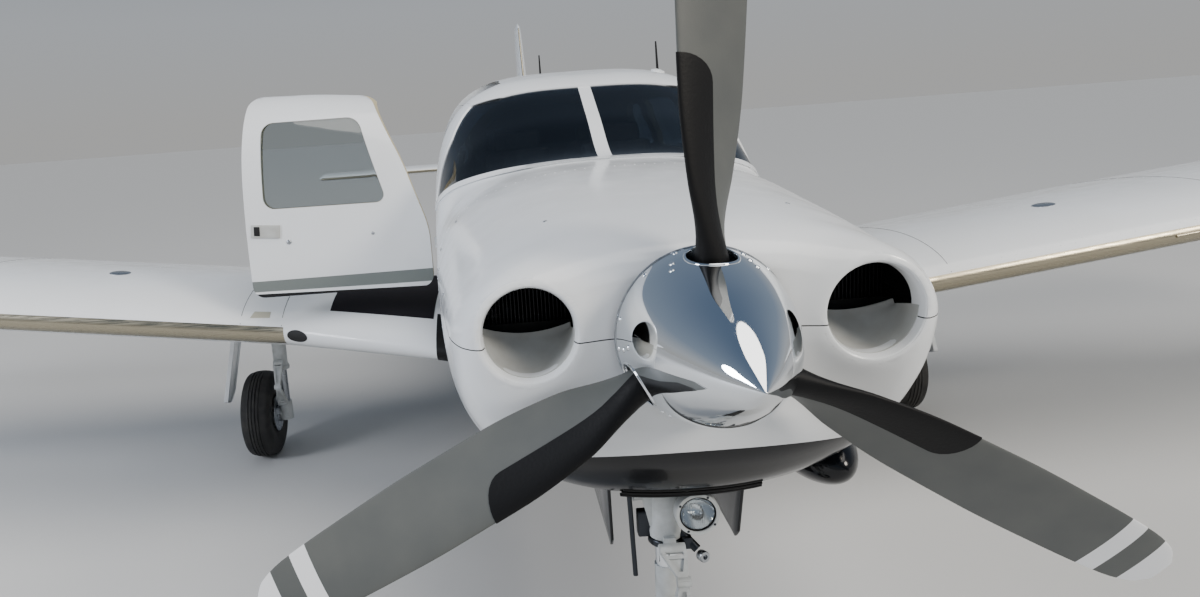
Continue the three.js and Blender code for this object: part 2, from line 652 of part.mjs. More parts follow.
// Seats: name, middle x, width, front station, cushion top
const seatTable = [
  ['right_front_seat', -245, 410, 2420, 1010],
  ['left_front_seat', 245, 410, 2420, 1010],
  ['rear_seat', 0, 1040, 3330, 990],
];
const seatSpace = form(CABIN_WALL + 12, cabinFront, BULKHEAD - 1);
const CUSHION = { depth: 470, thickness: 60, corner: 24 };
const BACKREST = { height: 590, lean: 110, thickness: 100, round: 30 };
seatTable.forEach(([name, x, width, front, top]) => {
  const back = front + CUSHION.depth;
  const [headFront, headTop] = [back + BACKREST.lean - BACKREST.thickness / 2, top + BACKREST.height];
  const outline = [
    [front + 30, FLOOR_TOP + GAP], [front, top - CUSHION.thickness], [front + 20, top],
    [back - 40, top - 20], [headFront, headTop - BACKREST.round], [back + BACKREST.lean, headTop],
    [headFront + BACKREST.thickness, headTop - BACKREST.round], [back + 70, top - CUSHION.thickness],
    [back + 20, FLOOR_TOP + GAP],
  ];
  const seat = acrossPrism(outline, x - width / 2, x + width / 2, CUSHION.corner);
  node(name, seat.intersect(seatSpace), finish.leather);
});

// Tail cone, with the bore that the tailplane's tube turns in
const TAIL_TIE_DOWN = { s: 6650, bottom: 985, radius: 14 };
const TAIL_HOLLOW_END = 7150;
const TAILPLANE_PIVOT = 6918;
const TAILPLANE_HEIGHT = 1190;
const TUBE_RADIUS = 34;
const tailForm = form(0, BULKHEAD + PLATE + GAP, TAIL_END);
const tailTieDown = rod(
  [0, TAIL_TIE_DOWN.s, 1020], [0, TAIL_TIE_DOWN.s, TAIL_TIE_DOWN.bottom], TAIL_TIE_DOWN.radius);
const BORE_RADIUS = TUBE_RADIUS + 0.6;
const bore = rod(
  [-400, TAILPLANE_PIVOT, TAILPLANE_HEIGHT], [400, TAILPLANE_PIVOT, TAILPLANE_HEIGHT],
  BORE_RADIUS, BORE_RADIUS, 24);
const tailSkin = cut(tailForm, form(TAIL_WALL, BULKHEAD - 50, TAIL_HOLLOW_END), bore);
node('tail_cone', join(tailSkin, tailTieDown), finish.white);

// Tailplane: one moving surface in two halves on a tube, and the tab behind it
const TAILPLANE = { root: 165, half: 1960, lead: 6690, chord: 760, tabLine: 7335, tabHalf: 1330 };
// Tailplane sections: x, how far its leading edge is swept back, share of the full thickness
const TAILPLANE_THICKNESS = 0.1;
const tailplaneTable = [
  [TAILPLANE.root, 0, 1],
  [TAILPLANE.half - 60, 0, 1],
  [TAILPLANE.half - 15, 14, 0.75],
  [TAILPLANE.half, 60, 0.3],
];
function tailplaneRing(x, sweep, thin) {
  return aerofoil(TAILPLANE.chord - sweep, TAILPLANE_THICKNESS * thin, 0).map(([back, up]) =>
    new THREE.Vector3(x, TAILPLANE.lead + sweep + back, TAILPLANE_HEIGHT + up));
}
const tailplaneHalf = (side) => loft(
  tailplaneTable.map(([x, sweep, thin]) => tailplaneRing(side * x, sweep, thin)));
const tab = loft([-TAILPLANE.tabHalf, TAILPLANE.tabHalf].map((x) => tailplaneRing(x, 0, 1)))
  .intersect(aft(TAILPLANE.tabLine));
const tube = rod([-TAILPLANE.root - 50, TAILPLANE_PIVOT, TAILPLANE_HEIGHT],
  [TAILPLANE.root + 50, TAILPLANE_PIVOT, TAILPLANE_HEIGHT], TUBE_RADIUS, TUBE_RADIUS, 24);
const tabSpace = box(
  [-TAILPLANE.tabHalf - GAP, TAILPLANE.tabLine - GAP, 0], [TAILPLANE.tabHalf + GAP, FAR, FAR]);
node('tailplane', cut(join(tailplaneHalf(-1), tube, tailplaneHalf(1)), tabSpace), finish.white);
node('tailplane_tab', tab, finish.white);

// Fin and rudder sections: height, leading edge station, trailing edge station, thickness over chord
const FIN = [
  [1285, 5985, 7425, 0.085],
  [1420, 6110, 7434, 0.085],
  [2370, 6810, 7508, 0.085],
  [2440, 6880, 7514, 0.07],
  [2475, 6990, LENGTH, 0.02],
];
const RUDDER_HINGE = { low: [7060, 1345], high: [7215, 2475], lowRadius: 31, highRadius: 20 };
const finForm = loft(FIN.map(([z, lead, trail, thickness]) => aerofoil(trail - lead, thickness, 0)
  .map(([back, up]) => new THREE.Vector3(up, lead + back, z))));
const RUDDER_BOTTOM = 1362;
const alongRudder = (z, low, high) => THREE.MathUtils.mapLinear(
  z, RUDDER_HINGE.low[1], RUDDER_HINGE.high[1], low, high);
const hingeAt = (z) => alongRudder(z, RUDDER_HINGE.low[0], RUDDER_HINGE.high[0]);
const hingeRadius = (z) => alongRudder(z, RUDDER_HINGE.lowRadius, RUDDER_HINGE.highRadius);
const rudderNose = (low, high, more) => rod(
  [0, hingeAt(low), low], [0, hingeAt(high), high],
  hingeRadius(low) + more, hingeRadius(high) + more, 24);
const [UNDER_FIN, OVER_FIN] = [1200, 2600];
const rudderSpace = acrossPrism(
  [[hingeAt(UNDER_FIN), UNDER_FIN], [hingeAt(OVER_FIN), OVER_FIN], [FAR, OVER_FIN], [FAR, UNDER_FIN]],
  -200, 200);
const tailTop = form(-GAP, BULKHEAD, TAIL_END);
const RUDDER_NOSE_TOP = 2440;
const rudder = join(finForm.intersect(rudderSpace), rudderNose(RUDDER_BOTTOM, RUDDER_NOSE_TOP, 0))
  .intersect(above(RUDDER_BOTTOM));
const RUDDER_PIN = { low: 1250, high: 1400, radius: 9 };
const rudderPin = cut(
  rod([0, hingeAt(RUDDER_PIN.low), RUDDER_PIN.low], [0, hingeAt(RUDDER_PIN.high), RUDDER_PIN.high],
    RUDDER_PIN.radius),
  tailTop);
const fin = cut(finForm, rudderSpace, rudderNose(UNDER_FIN, OVER_FIN, RUN), tailTop);
node('fin', largest(fin), finish.white);
node('rudder', largest(rudder.add(largest(rudderPin))), finish.white);

// Wings with their moving surfaces, wheel wells and gear
const fuselageTool = form(-GAP, 1200, 4600);
// Moving surfaces: name, inner x, outer x, hinge line as a part of the chord
const surfaceTable = [
  ['flap', 645, 2690, 0.78],
  ['aileron', 2740, 4850, 0.79],
];
const PIN_RADIUS = 8;
const END_RUN = 14; // a surface shifts along the span as it turns, because its hinge line rises
const PIN_END_GAP = 1.3; // the hinge line rises with the wing, so the pin's end stands askew to the rib

function hingePoint(x, part) {
  const k = Math.max(1, WING.findIndex((row) => row[0] >= x));
  const t = (x - WING[k - 1][0]) / (WING[k][0] - WING[k - 1][0]);
  const lead = THREE.MathUtils.lerp(WING[k - 1][1], WING[k][1], t);
  const chord = THREE.MathUtils.lerp(WING[k - 1][2], WING[k][2], t);
  const s = lead + part * chord;
  const { height, half } = wingMiddle(WING, x, s);
  return { x, s, z: height, radius: half - 2 };
}

// A point on the straight line through the two ends of a hinge
function alongHinge(ends, x) {
  const t = (x - ends[0].x) / (ends[1].x - ends[0].x);
  const mix = (key) => THREE.MathUtils.lerp(ends[0][key], ends[1][key], t);
  return { x, s: mix('s'), z: mix('z'), radius: mix('radius') };
}

// Wheel well in the wing's underside: a round pocket and a slot for the leg
const WELL = { x: 960, radius: 240, low: 400, top: 806, slotTop: 872, slotHalf: 85, slotEnd: 1640 };
const TIE_DOWN = { x: 3200, s: 2760, bottom: 975, radius: 16 };
const WHEEL_X = MAIN_TRACK / 2;
const LEG_X = WHEEL_X - 113;
const TRUNNION_HEIGHT = 815;
const TRUNNION_RADIUS = 30;
const BARREL = { radius: 36, bottom: 480 };
const PISTON_RADIUS = 26;
const AXLE_RADIUS = 20;
// Ends of the axle's parts, outboard of the wheel's middle: the stub that the leg holds, axle and nut
const AXLE = { stubEnd: -80.6, end: 75, nutFrom: 50.6, nutTo: 66 };
const MAIN_LINK_HALF = 18;

// Torque link of a main leg: distance ahead of the leg, height
const MAIN_LINK = [[20, 520], [110, 400], [110, 385], [15, 270], [15, 300], [85, 393], [15, 490]];

// Main wheel and tyre profiles: radius, distance outboard of the wheel's middle
const MAIN_RIM = [
  [20.5, -80], [95, -80], [95, -74], [48, -74], [48, -40], [66, -55], [76, -55], [76, 55],
  [66, 55], [44, 50], [20.5, 50],
];
const MAIN_TYRE = [
  [76.4, -55], [130, -74], [190, -70], [215, -48], [MAIN_TYRE_RADIUS, -22],
  [MAIN_TYRE_RADIUS, 22], [215, 48], [190, 70], [130, 74], [76.4, 55],
];

// Main gear door: distance aft of the leg, height; it leans out as it goes down
const GEAR_DOOR = [[-75, 900], [75, 900], [75, 330], [20, 286], [-60, 310]];
const GEAR_DOOR_X = 1705;
const GEAR_DOOR_LEAN = 0.24;
const DOOR_HALF = 4; // half the thickness of a gear door

['right', 'left'].forEach((name, i) => {
  const side = i === 0 ? -1 : 1;
  const place = ({ x, s, z }) => [side * x, s, z];
  let wing = largest(wingLoft(WING, side).subtract(fuselageTool));
  const wingForm = wing;
  surfaceTable.forEach(([surface, inner, outer, part]) => {
    const ends = surface === 'flap'
      ? [{ ...hingePoint(1275, part) }, hingePoint(WING_TAPER_X, part)]
      : [hingePoint(inner, part), hingePoint(outer, part)];
    const at = (x) => alongHinge(ends, x);
    const nose = (from, to, more) => rod(
      place(at(from)), place(at(to)), at(from).radius + more, at(to).radius + more, 20);
    const behind = (from, to) => uprightPrism(
      [[side * from, at(from).s], [side * to, at(to).s], [side * to, FAR], [side * from, FAR]], 0, FAR);
    const piece = join(wingForm.intersect(behind(inner, outer)), nose(inner, outer, 0));
    node(`${name}_${surface}`, piece, finish.white);
    const [from, to] = [inner - END_RUN, outer + END_RUN];
    const pins = [[from - 5, inner - PIN_END_GAP], [outer + PIN_END_GAP, to + 5]]
      .map(([start, end]) => rod(place(at(start)), place(at(end)), PIN_RADIUS));
    wing = join(cut(wing, behind(from, to), nose(from, to, RUN)), ...pins);
  });
  const pocket = rod(
    [side * WELL.x, MAIN_STATION, WELL.low], [side * WELL.x, MAIN_STATION, WELL.top],
    WELL.radius, WELL.radius, 32);
  const [slotLeft, slotRight] = [side * WELL.x, side * WELL.slotEnd].sort((a, b) => a - b);
  const slot = box(
    [slotLeft, MAIN_STATION - WELL.slotHalf, WELL.low],
    [slotRight, MAIN_STATION + WELL.slotHalf, WELL.slotTop]);
  const ringPlace = wingMiddle(WING, TIE_DOWN.x, TIE_DOWN.s);
  const ringTop = ringPlace.height - ringPlace.half + 25;
  const ringPad = rod(
    [side * TIE_DOWN.x, TIE_DOWN.s, ringTop], [side * TIE_DOWN.x, TIE_DOWN.s, TIE_DOWN.bottom],
    TIE_DOWN.radius);
  wing = join(cut(wing, pocket, slot), ringPad);
  node(`${name}_wing`, largest(wing), finish.white);

  const leg = side * LEG_X;
  const wheel = side * WHEEL_X;
  const axleHeight = MAIN_TYRE_RADIUS;
  const onLeg = (z) => [leg, MAIN_STATION, z];
  const onAxle = (outboard) => [wheel + side * outboard, MAIN_STATION, axleHeight];
  const trunnion = [-1, 1].map((end) => [
    leg, MAIN_STATION + end * (WELL.slotHalf - GAP), TRUNNION_HEIGHT,
  ]);
  const link = MAIN_LINK.map(([ahead, z]) => [MAIN_STATION - ahead, z]);
  node(`${name}_main_leg`, join(
    rod(...trunnion, TRUNNION_RADIUS),
    rod(onLeg(TRUNNION_HEIGHT), onLeg(BARREL.bottom), BARREL.radius),
    rod(onLeg(BARREL.bottom + 10), onLeg(axleHeight - 30), PISTON_RADIUS),
    rod(onLeg(axleHeight), onAxle(AXLE.end), AXLE_RADIUS),
    rod(onLeg(axleHeight), onAxle(AXLE.stubEnd), AXLE_RADIUS + 10),
    rod(onAxle(AXLE.nutFrom), onAxle(AXLE.nutTo), AXLE_RADIUS + 7),
    acrossPrism(link, leg - MAIN_LINK_HALF, leg + MAIN_LINK_HALF)), finish.casting);
  const rim = MAIN_RIM.map(([radius, along]) => [radius, side * along]);
  node(`${name}_main_wheel`, wheelTurned(rim, onAxle(0)), finish.steel);
  node(`${name}_main_tyre`, wheelTurned(MAIN_TYRE, onAxle(0)), finish.tyre);
  const doorOutline = GEAR_DOOR.map(([back, z]) => [MAIN_STATION + back, z]);
  const gearDoor = acrossPrism(doorOutline, -DOOR_HALF, DOOR_HALF).warp((point) => {
    point[0] += side * (GEAR_DOOR_X + (800 - point[2]) * GEAR_DOOR_LEAN);
  });
  const hungDoor = cut(gearDoor, wing.translate([0, 0, -GAP]), above(860));
  node(`${name}_gear_door`, largest(hungDoor), finish.white);
});

// Nose gear: the whole leg turns in a ring on two tubes from the firewall
const RING = { low: 850, high: 900, inner: 47, outer: 62 };
const NOSE_LEG_X = -36; // the leg stands a little to starboard, beside its landing light
const onNoseLeg = (z) => [NOSE_LEG_X, NOSE_STATION, z];
function ringRod(over, radius) {
  return rod(onNoseLeg(RING.low - over), onNoseLeg(RING.high + over), radius, radius, 28);
}
const mountTubes = [-1, 1].map((side) => rod(
  [NOSE_LEG_X + side * 48, NOSE_STATION + 22, 875], [side * 190, FIREWALL + 60, 905], 16));
const ringOnTubes = join(ringRod(0, RING.outer), ...mountTubes);
const noseMount = cut(ringOnTubes, aft(FIREWALL - GAP), ringRod(25, RING.inner));
node('nose_gear_mount', noseMount, finish.steel);

// The housing: profile rows are radius, height
const HOUSING_BOTTOM = 638;
const LEG_RADIUS = 44;
const housingProfile = [
  [0, HOUSING_BOTTOM], [40, HOUSING_BOTTOM], [42, HOUSING_BOTTOM + 12], [42, 700], [LEG_RADIUS, 730],
  [LEG_RADIUS, RING.high + GAP], [60, RING.high + GAP], [60, RING.high + 14], [0, RING.high + 14],
].map(([radius, z]) => new THREE.Vector2(radius, z));
const housing = new THREE.LatheGeometry(housingProfile, 32).rotateX(Math.PI / 2);
node('nose_leg', solid(housing.translate(NOSE_LEG_X, NOSE_STATION, 0)), finish.casting);

const forkArms = [NOSE_LEG_X - 80, NOSE_LEG_X + 80];
const FORK_HALF = 8; // half the thickness of a fork arm
const NOSE_AXLE_RADIUS = 12;
const CROWN = { low: 385, high: 420, half: 38 };
const forkSide = [
  [NOSE_STATION - 34, 400], [NOSE_STATION + 34, 400], [NOSE_STATION + 26, 150], [NOSE_STATION - 26, 150],
];
node('nose_fork', join(
  rod(onNoseLeg(HOUSING_BOTTOM - GAP), onNoseLeg(400), PISTON_RADIUS),
  box([forkArms[0] - FORK_HALF, NOSE_STATION - CROWN.half, CROWN.low],
    [forkArms[1] + FORK_HALF, NOSE_STATION + CROWN.half, CROWN.high]),
  ...forkArms.map((x) => acrossPrism(forkSide, x - FORK_HALF, x + FORK_HALF, 12)),
  rod(...forkArms.map((x) => [x, NOSE_STATION, NOSE_TYRE_RADIUS]), NOSE_AXLE_RADIUS)),
finish.casting);

// Torque link: distance ahead of the leg, height; it rests on the housing above and the crown below
const NOSE_LINK_HALF = 24;
const noseLink = [
  [42.4, 662], [62, 640], [122, 560], [122, 540], [CROWN.half + 0.4, 400], [CROWN.half + 0.4, 418],
  [100, 548], [42.4, 638.5],
].map(([ahead, z]) => [NOSE_STATION - ahead, z]);
node('nose_torque_link', acrossPrism(
  noseLink, NOSE_LEG_X - NOSE_LINK_HALF, NOSE_LEG_X + NOSE_LINK_HALF), finish.casting);
// The lamp's can is hollowed at its back, where it lies against the leg
const LAMP = { x: 18, front: 545, back: 640, height: 741, radius: 51 };
const lamp = rod(
  [LAMP.x, LAMP.front, LAMP.height], [LAMP.x, LAMP.back, LAMP.height], LAMP.radius, LAMP.radius, 32);
const seatRadius = LEG_RADIUS + GAP;
const lampSeat = rod(onNoseLeg(HOUSING_BOTTOM), onNoseLeg(RING.low), seatRadius, seatRadius, 32);
node('landing_light', largest(lamp.subtract(lampSeat)), finish.lens);

// Nose wheel and tyre profiles: radius, distance from the wheel's middle
const NOSE_RIM = [
  [12.5, -68], [30, -68], [30, -30], [52, -44], [63, -44],
  [63, 44], [52, 44], [30, 30], [30, 68], [12.5, 68],
];
const NOSE_TYRE = [
  [63.4, -44], [105, -61], [155, -56], [173, -36], [NOSE_TYRE_RADIUS, -17], [NOSE_TYRE_RADIUS, 17],
  [173, 36], [155, 56], [105, 61], [63.4, 44],
];
node('nose_wheel', wheelTurned(NOSE_RIM, onNoseLeg(NOSE_TYRE_RADIUS)), finish.steel);
node('nose_tyre', wheelTurned(NOSE_TYRE, onNoseLeg(NOSE_TYRE_RADIUS)), finish.tyre);

// Nose door: station, height; it leans out as it goes up
const NOSE_DOOR = [[668, 820], [1180, 745], [1180, 640], [1145, 594], [765, 580], [735, 577], [711, 602]];
const NOSE_DOOR_LEAN = 0.04;
const NOSE_DOOR_APART = NOSE_WELL.halfWidth + 8;
['right', 'left'].forEach((name, i) => {
  const side = i === 0 ? -1 : 1;
  const panel = acrossPrism(NOSE_DOOR, -DOOR_HALF, DOOR_HALF).warp((point) => {
    point[0] += side * (NOSE_DOOR_APART + (point[2] - 600) * NOSE_DOOR_LEAN);
  });
  node(`${name}_nose_door`, largest(panel.subtract(form(-GAP, COWL_FRONT, FIREWALL))), finish.navy);
});

export default whole;
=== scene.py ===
# %% [markdown]
# # A low-wing light aircraft
# This lesson dresses the frame of a four-seat touring aircraft: painted sheet metal, a polished spinner,
# rubber boots on the blades, tinted windows and leather seats. The frame says where every piece is and what it
# moves with. Each cell says what a piece is on the real aircraft, how it could be made, and why this way was
# chosen.

# %% Load the frame
from math import acos, copysign, cos, exp, hypot, pi, radians, sin, sqrt, tan

import bpy
from mathutils import Matrix, Vector


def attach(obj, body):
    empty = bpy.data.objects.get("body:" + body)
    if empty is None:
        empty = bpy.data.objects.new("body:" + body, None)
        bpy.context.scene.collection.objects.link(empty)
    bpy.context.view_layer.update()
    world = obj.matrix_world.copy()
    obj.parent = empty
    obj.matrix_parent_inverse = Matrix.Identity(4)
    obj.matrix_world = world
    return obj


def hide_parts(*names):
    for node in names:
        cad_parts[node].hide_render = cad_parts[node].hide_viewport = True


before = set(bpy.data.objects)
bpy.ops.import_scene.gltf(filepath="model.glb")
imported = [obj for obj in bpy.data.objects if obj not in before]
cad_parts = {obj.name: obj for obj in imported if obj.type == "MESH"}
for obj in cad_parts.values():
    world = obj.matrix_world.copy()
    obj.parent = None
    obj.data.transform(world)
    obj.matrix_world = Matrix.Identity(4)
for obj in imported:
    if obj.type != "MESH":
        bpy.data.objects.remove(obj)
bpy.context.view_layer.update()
bpy.ops.object.select_all(action="DESELECT")

# %% [markdown]
# ## Where the camera stands
# The picture was taken at arm's reach from the spinner, a little to starboard of it and above it, with a wide
# lens that leans a few degrees. Places on the aircraft are easiest to give as a distance aft of the spinner's
# tip, called a station. In names, X is metres to port, S is a station and Z is a height.

# %% Stations and the camera
MIDDLE = 3.76
PICTURE_WIDTH, PICTURE_HEIGHT = 1200, 597
FOCAL_PIXELS = 848.5
OPTICAL_CENTRE = (484.6, 268.9)
EYE = Vector((-0.41, -1.253 - MIDDLE, 1.673))
HEADING, NOSE_DOWN, LEAN = (radians(angle) for angle in (-0.472, 10.358, 4.297))


def at(x, station, z):
    """A place on the aircraft: metres to port, aft of the spinner's tip and above the ground."""
    return Vector((x, station - MIDDLE, z))


camera_data = bpy.data.cameras.new("camera")
camera = bpy.data.objects.new("camera", camera_data)
bpy.context.collection.objects.link(camera)
camera.matrix_world = (Matrix.Translation(EYE) @ Matrix.Rotation(-HEADING, 4,
    "Z") @ Matrix.Rotation(pi / 2 - NOSE_DOWN, 4, "X") @ Matrix.Rotation(-LEAN, 4, "Z"))
camera_data.sensor_width = 36
camera_data.lens = FOCAL_PIXELS / PICTURE_WIDTH * camera_data.sensor_width
camera_data.shift_x = (PICTURE_WIDTH / 2 - OPTICAL_CENTRE[0]) / PICTURE_WIDTH
camera_data.shift_y = (OPTICAL_CENTRE[1] - PICTURE_HEIGHT / 2) / PICTURE_WIDTH
camera_data.clip_start, camera_data.clip_end = 0.05, 200
bpy.context.scene.camera = camera
print("lens", round(camera_data.lens, 2), "mm")

# %% [markdown]
# ## Finishes
# Every finish starts from a real one. Colours are given as they look on a screen and turned to light values by
# one function, and one small function adds a pattern's nodes. Patterns are laid out in metres on the aircraft.


# %% Tools for finishes
def linear(colour):
    """A screen colour such as "#f2f4f6" as light values."""
    shares = [int(colour[i:i + 2], 16) / 255 for i in (1, 3, 5)]
    return (*[c / 12.92 if c <= 0.04045 else ((c + 0.055) / 1.055) ** 2.4 for c in shares], 1)


def finish(name, colour, roughness, metallic=0, **more):
    """A material. Its shader's constants are named for their sockets, with _ for a space."""
    material = bpy.data.materials.new(name)
    material.use_nodes = True
    shader = material.node_tree.nodes["Principled BSDF"]
    for socket, value in {"Base_Color": linear(colour), "Roughness": roughness, "Metallic": metallic, **more}.items():
        shader.inputs[socket.replace("_", " ")].default_value = value
    return material


def add(material, kind, inputs=None, **settings):
    """Adds a node. Inputs are numbers or other nodes' sockets, by name or place."""
    node = material.node_tree.nodes.new("ShaderNode" + kind)
    for name, value in settings.items():
        setattr(node, name, value)
    for name, value in (inputs or {}).items():
        if isinstance(value, bpy.types.NodeSocket):
            material.node_tree.links.new(value, node.inputs[name])
        else:
            node.inputs[name].default_value = value
    return node


def feed(material, socket, output):
    """Links a node's output to a socket of the material's shader."""
    shader = material.node_tree.nodes["Principled BSDF"]
    material.node_tree.links.new(output, shader.inputs[socket])


def places(material):
    """The place on the aircraft, split into x, y and z."""
    coordinates = add(material, "TexCoord")
    return coordinates.outputs["Object"], add(material, "SeparateXYZ", {0: coordinates.outputs["Object"]})


def sums(material, operation, *values, clamp=False):
    """One step of arithmetic on numbers or sockets."""
    node = add(material, "Math", dict(enumerate(values)), operation=operation, use_clamp=clamp)
    return node.outputs[0]


def mixed(material, share, first, second):
    """A colour between two, by a share from 0 to 1."""
    return add(material, "Mix", {0: share, 6: first, 7: second}, data_type="RGBA").outputs[2]


def speckle(material, size, low, high, detail=3):
    """Soft random values between low and high, with spots about size metres across."""
    where, _ = places(material)
    noise = add(material, "TexNoise", {"Vector": where, "Scale": 1 / size, "Detail": detail})
    spread = add(material, "MapRange", {0: noise.outputs[0], 1: 0.3, 2: 0.7, 3: low, 4: high})
    return spread.outputs[0]


def bumpy(material, height_socket, depth):
    """Turns a height pattern into bumps depth metres high."""
    bump = add(material, "Bump", {"Height": height_socket, "Distance": depth})
    feed(material, "Normal", bump.outputs[0])


def grained(material, size, depth):
    """Fine random bumps, so many metres across and deep."""
    bumpy(material, speckle(material, size, 0, 1), depth)


def toned(material, size, most, first, second, detail=3):
    """Two screen colours in soft spots, with at most a given share of the second."""
    return mixed(material, speckle(material, size, 0, most, detail), linear(first), linear(second))


# %% [markdown]
# ### Two-part gloss paint
# Aircraft paint is a hard polyurethane gloss. Under the clear shine it has a faint orange peel, a fine dust and
# a slight yellowing, so its colour and gloss vary a little. The belly is a blue-black with a line that starts
# low on the nose and climbs to the bottom of the cabin door; a grey band and a thin white line run above it.

# %% Gloss paint and the colours along the fuselage
WHITE, NAVY, BAND_GREY = "#eef1f4", "#080a0f", "#747b79"
# Lines along the fuselage as station and height: top of the dark belly, lower and upper edge of the grey band
BELLY_TOP = [(0.4, 0.953), (0.6, 0.94), (1.1, 0.95), (1.7, 0.995), (2.05, 1.019), (2.745, 1.033), (4.3, 1.046),
    (6.2, 1.09), (7.5, 1.17)]
BAND_LOW = [(0.4, 1), (1.15, 1), (2.05, 1.037), (2.745, 1.042), (4.3, 1.055), (6.2, 1.098), (7.5, 1.178)]
BAND_HIGH = [(0.4, 1), (1.15, 1), (2.05, 1.089), (2.745, 1.085), (4.3, 1.095), (6.2, 1.125), (7.5, 1.19)]
DOOR_HINGE = (-0.617, 2.047)
ORANGE_PEEL = 0.012


def gloss_paint(name, colour, dust="#d9d6cd"):
    """Gloss paint of one colour with dust and orange peel."""
    paint = finish(name, colour, 0.16, Specular_IOR_Level=0.3, Coat_Weight=0.15, Coat_Roughness=0.04)
    dusty = toned(paint, 0.35, 0.16, colour, dust)
    feed(paint, "Base Color", dusty)
    feed(paint, "Roughness", speckle(paint, 0.09, 0.12, 0.24))
    grained(paint, ORANGE_PEEL, 0.00004)
    return paint, dusty


white, _ = gloss_paint("gloss_white_paint", WHITE)
navy_paint, _ = gloss_paint("gloss_navy_paint", NAVY, "#2a2c30")


def line_height(material, place, points):
    """The height of a drawn line at a place along the aircraft, as a socket."""
    first, last = points[0][0], points[-1][0]
    along = add(material, "MapRange", {0: place, 1: first - MIDDLE, 2: last - MIDDLE})
    curve = add(material, "FloatCurve", {"Value": along.outputs[0]})
    knots = curve.mapping.curves[0].points
    knots[0].location, knots[1].location = (0, points[0][1] - 0.5), (1, points[-1][1] - 0.5)
    for station, height in points[1:-1]:
        knots.new((station - first) / (last - first), height - 0.5)
    for knot in knots:
        knot.handle_type = "VECTOR"
    curve.mapping.update()
    return sums(material, "ADD", curve.outputs[0], 0.5)


def fuselage_paint(name, opened=False):
    """White over grey over blue-black. The opened door carries the lines it has when it is shut."""
    paint, dusty_white = gloss_paint(name, WHITE)
    _, axes = places(paint)
    place = axes.outputs["Y"]
    if opened:
        place = sums(paint, "SUBTRACT", sum(DOOR_HINGE) - MIDDLE, axes.outputs["X"])
    z = axes.outputs["Z"]
    above_low = sums(paint, "GREATER_THAN", z, line_height(paint, place, BAND_LOW))
    below_high = sums(paint, "LESS_THAN", z, line_height(paint, place, BAND_HIGH))
    banded = mixed(paint, sums(paint, "MULTIPLY", above_low, below_high), dusty_white, linear(BAND_GREY))
    above_belly = sums(paint, "GREATER_THAN", z, line_height(paint, place, BELLY_TOP))
    feed(paint, "Base Color", mixed(paint, above_belly, linear(NAVY), banded))
    return paint


livery = fuselage_paint("gloss_paint_with_belly_line")
door_livery = fuselage_paint("gloss_paint_of_the_open_door", opened=True)
print("paints", white.name, navy_paint.name, livery.name, door_livery.name)

# %% [markdown]
# ### Metals, rubber, glass and plastics
# The spinner is spun aluminium, chrome plated and polished, so it is a mirror. The strips on the leading edges
# are rolled aluminium, brushed along the span. Gear castings are painted pale grey, the blades have a
# stone-proof satin grey paint, and the boots are cured rubber. Windows are stretched acrylic, tinted grey.

# %% The other finishes
chrome = finish("polished_chrome_plate", "#e9edf1", 0.03, 1)
feed(chrome, "Roughness", speckle(chrome, 0.05, 0.015, 0.06))

brushed = finish("rolled_aluminium", "#a79f8b", 0.3, 1)
where, _ = places(brushed)
grain = add(brushed, "Mapping", {"Vector": where, "Scale": (3, 250, 250)})
lines = add(brushed, "TexNoise", {"Vector": grain.outputs[0], "Scale": 1})
scratch = add(brushed, "MapRange", {0: lines.outputs[0], 1: 0.3, 2: 0.7, 3: 0.2, 4: 0.42})
feed(brushed, "Roughness", scratch.outputs[0])

steel = finish("machined_steel", "#a9adb2", 0.28, 1)
feed(steel, "Roughness", speckle(steel, 0.03, 0.2, 0.42))
hub_metal = finish("anodised_hub", "#3a3d40", 0.4, 0.8)
dark_steel = finish("oiled_steel", "#3c3f44", 0.35, 1)
casting = finish("painted_gear_casting", "#c3c7c8", 0.42, 0)
feed(casting, "Base Color", toned(casting, 0.04, 0.5, "#c9cdce", "#8f8f88", 5))
grained(casting, 0.004, 0.0002)

THRUST_Z = 1.215
# The white band and the white tip of a blade, as distances from the hub
BAND_START, BAND_END, TIP_WHITE = 0.911, 0.95, 1
blade_paint = finish("satin_blade_paint", "#4c4f4d", 0.5)
where, blade_axes = places(blade_paint)
rise = sums(blade_paint, "SUBTRACT", blade_axes.outputs["Z"], THRUST_Z)
reach = sums(blade_paint, "SQRT", sums(blade_paint, "ADD", sums(blade_paint, "MULTIPLY", blade_axes.outputs["X"],
    blade_axes.outputs["X"]), sums(blade_paint, "MULTIPLY", rise, rise)))
band = sums(blade_paint, "MULTIPLY", sums(blade_paint, "GREATER_THAN", reach, BAND_START),
    sums(blade_paint, "LESS_THAN", reach, BAND_END))
tip = sums(blade_paint, "GREATER_THAN", reach, TIP_WHITE)
grey = toned(blade_paint, 0.12, 0.35, "#505352", "#6a6b66")
feed(blade_paint, "Base Color", mixed(blade_paint, sums(blade_paint, "ADD", band, tip, clamp=True), grey,
    linear("#e9eaec")))
grained(blade_paint, 0.003, 0.00008)

boot_rubber = finish("cured_boot_rubber", "#08080a", 0.5, Specular_IOR_Level=0.22)
grained(boot_rubber, 0.006, 0.00015)
tyre_rubber = finish("tyre_rubber", "#1b1b1c", 0.78, IOR=1.52)
feed(tyre_rubber, "Base Color", toned(tyre_rubber, 0.05, 0.6, "#161617", "#3a3835", 5))
grained(tyre_rubber, 0.003, 0.0003)
seal_rubber = finish("black_seal_rubber", "#0c0c0d", 0.6, IOR=1.52, Specular_IOR_Level=0.25)

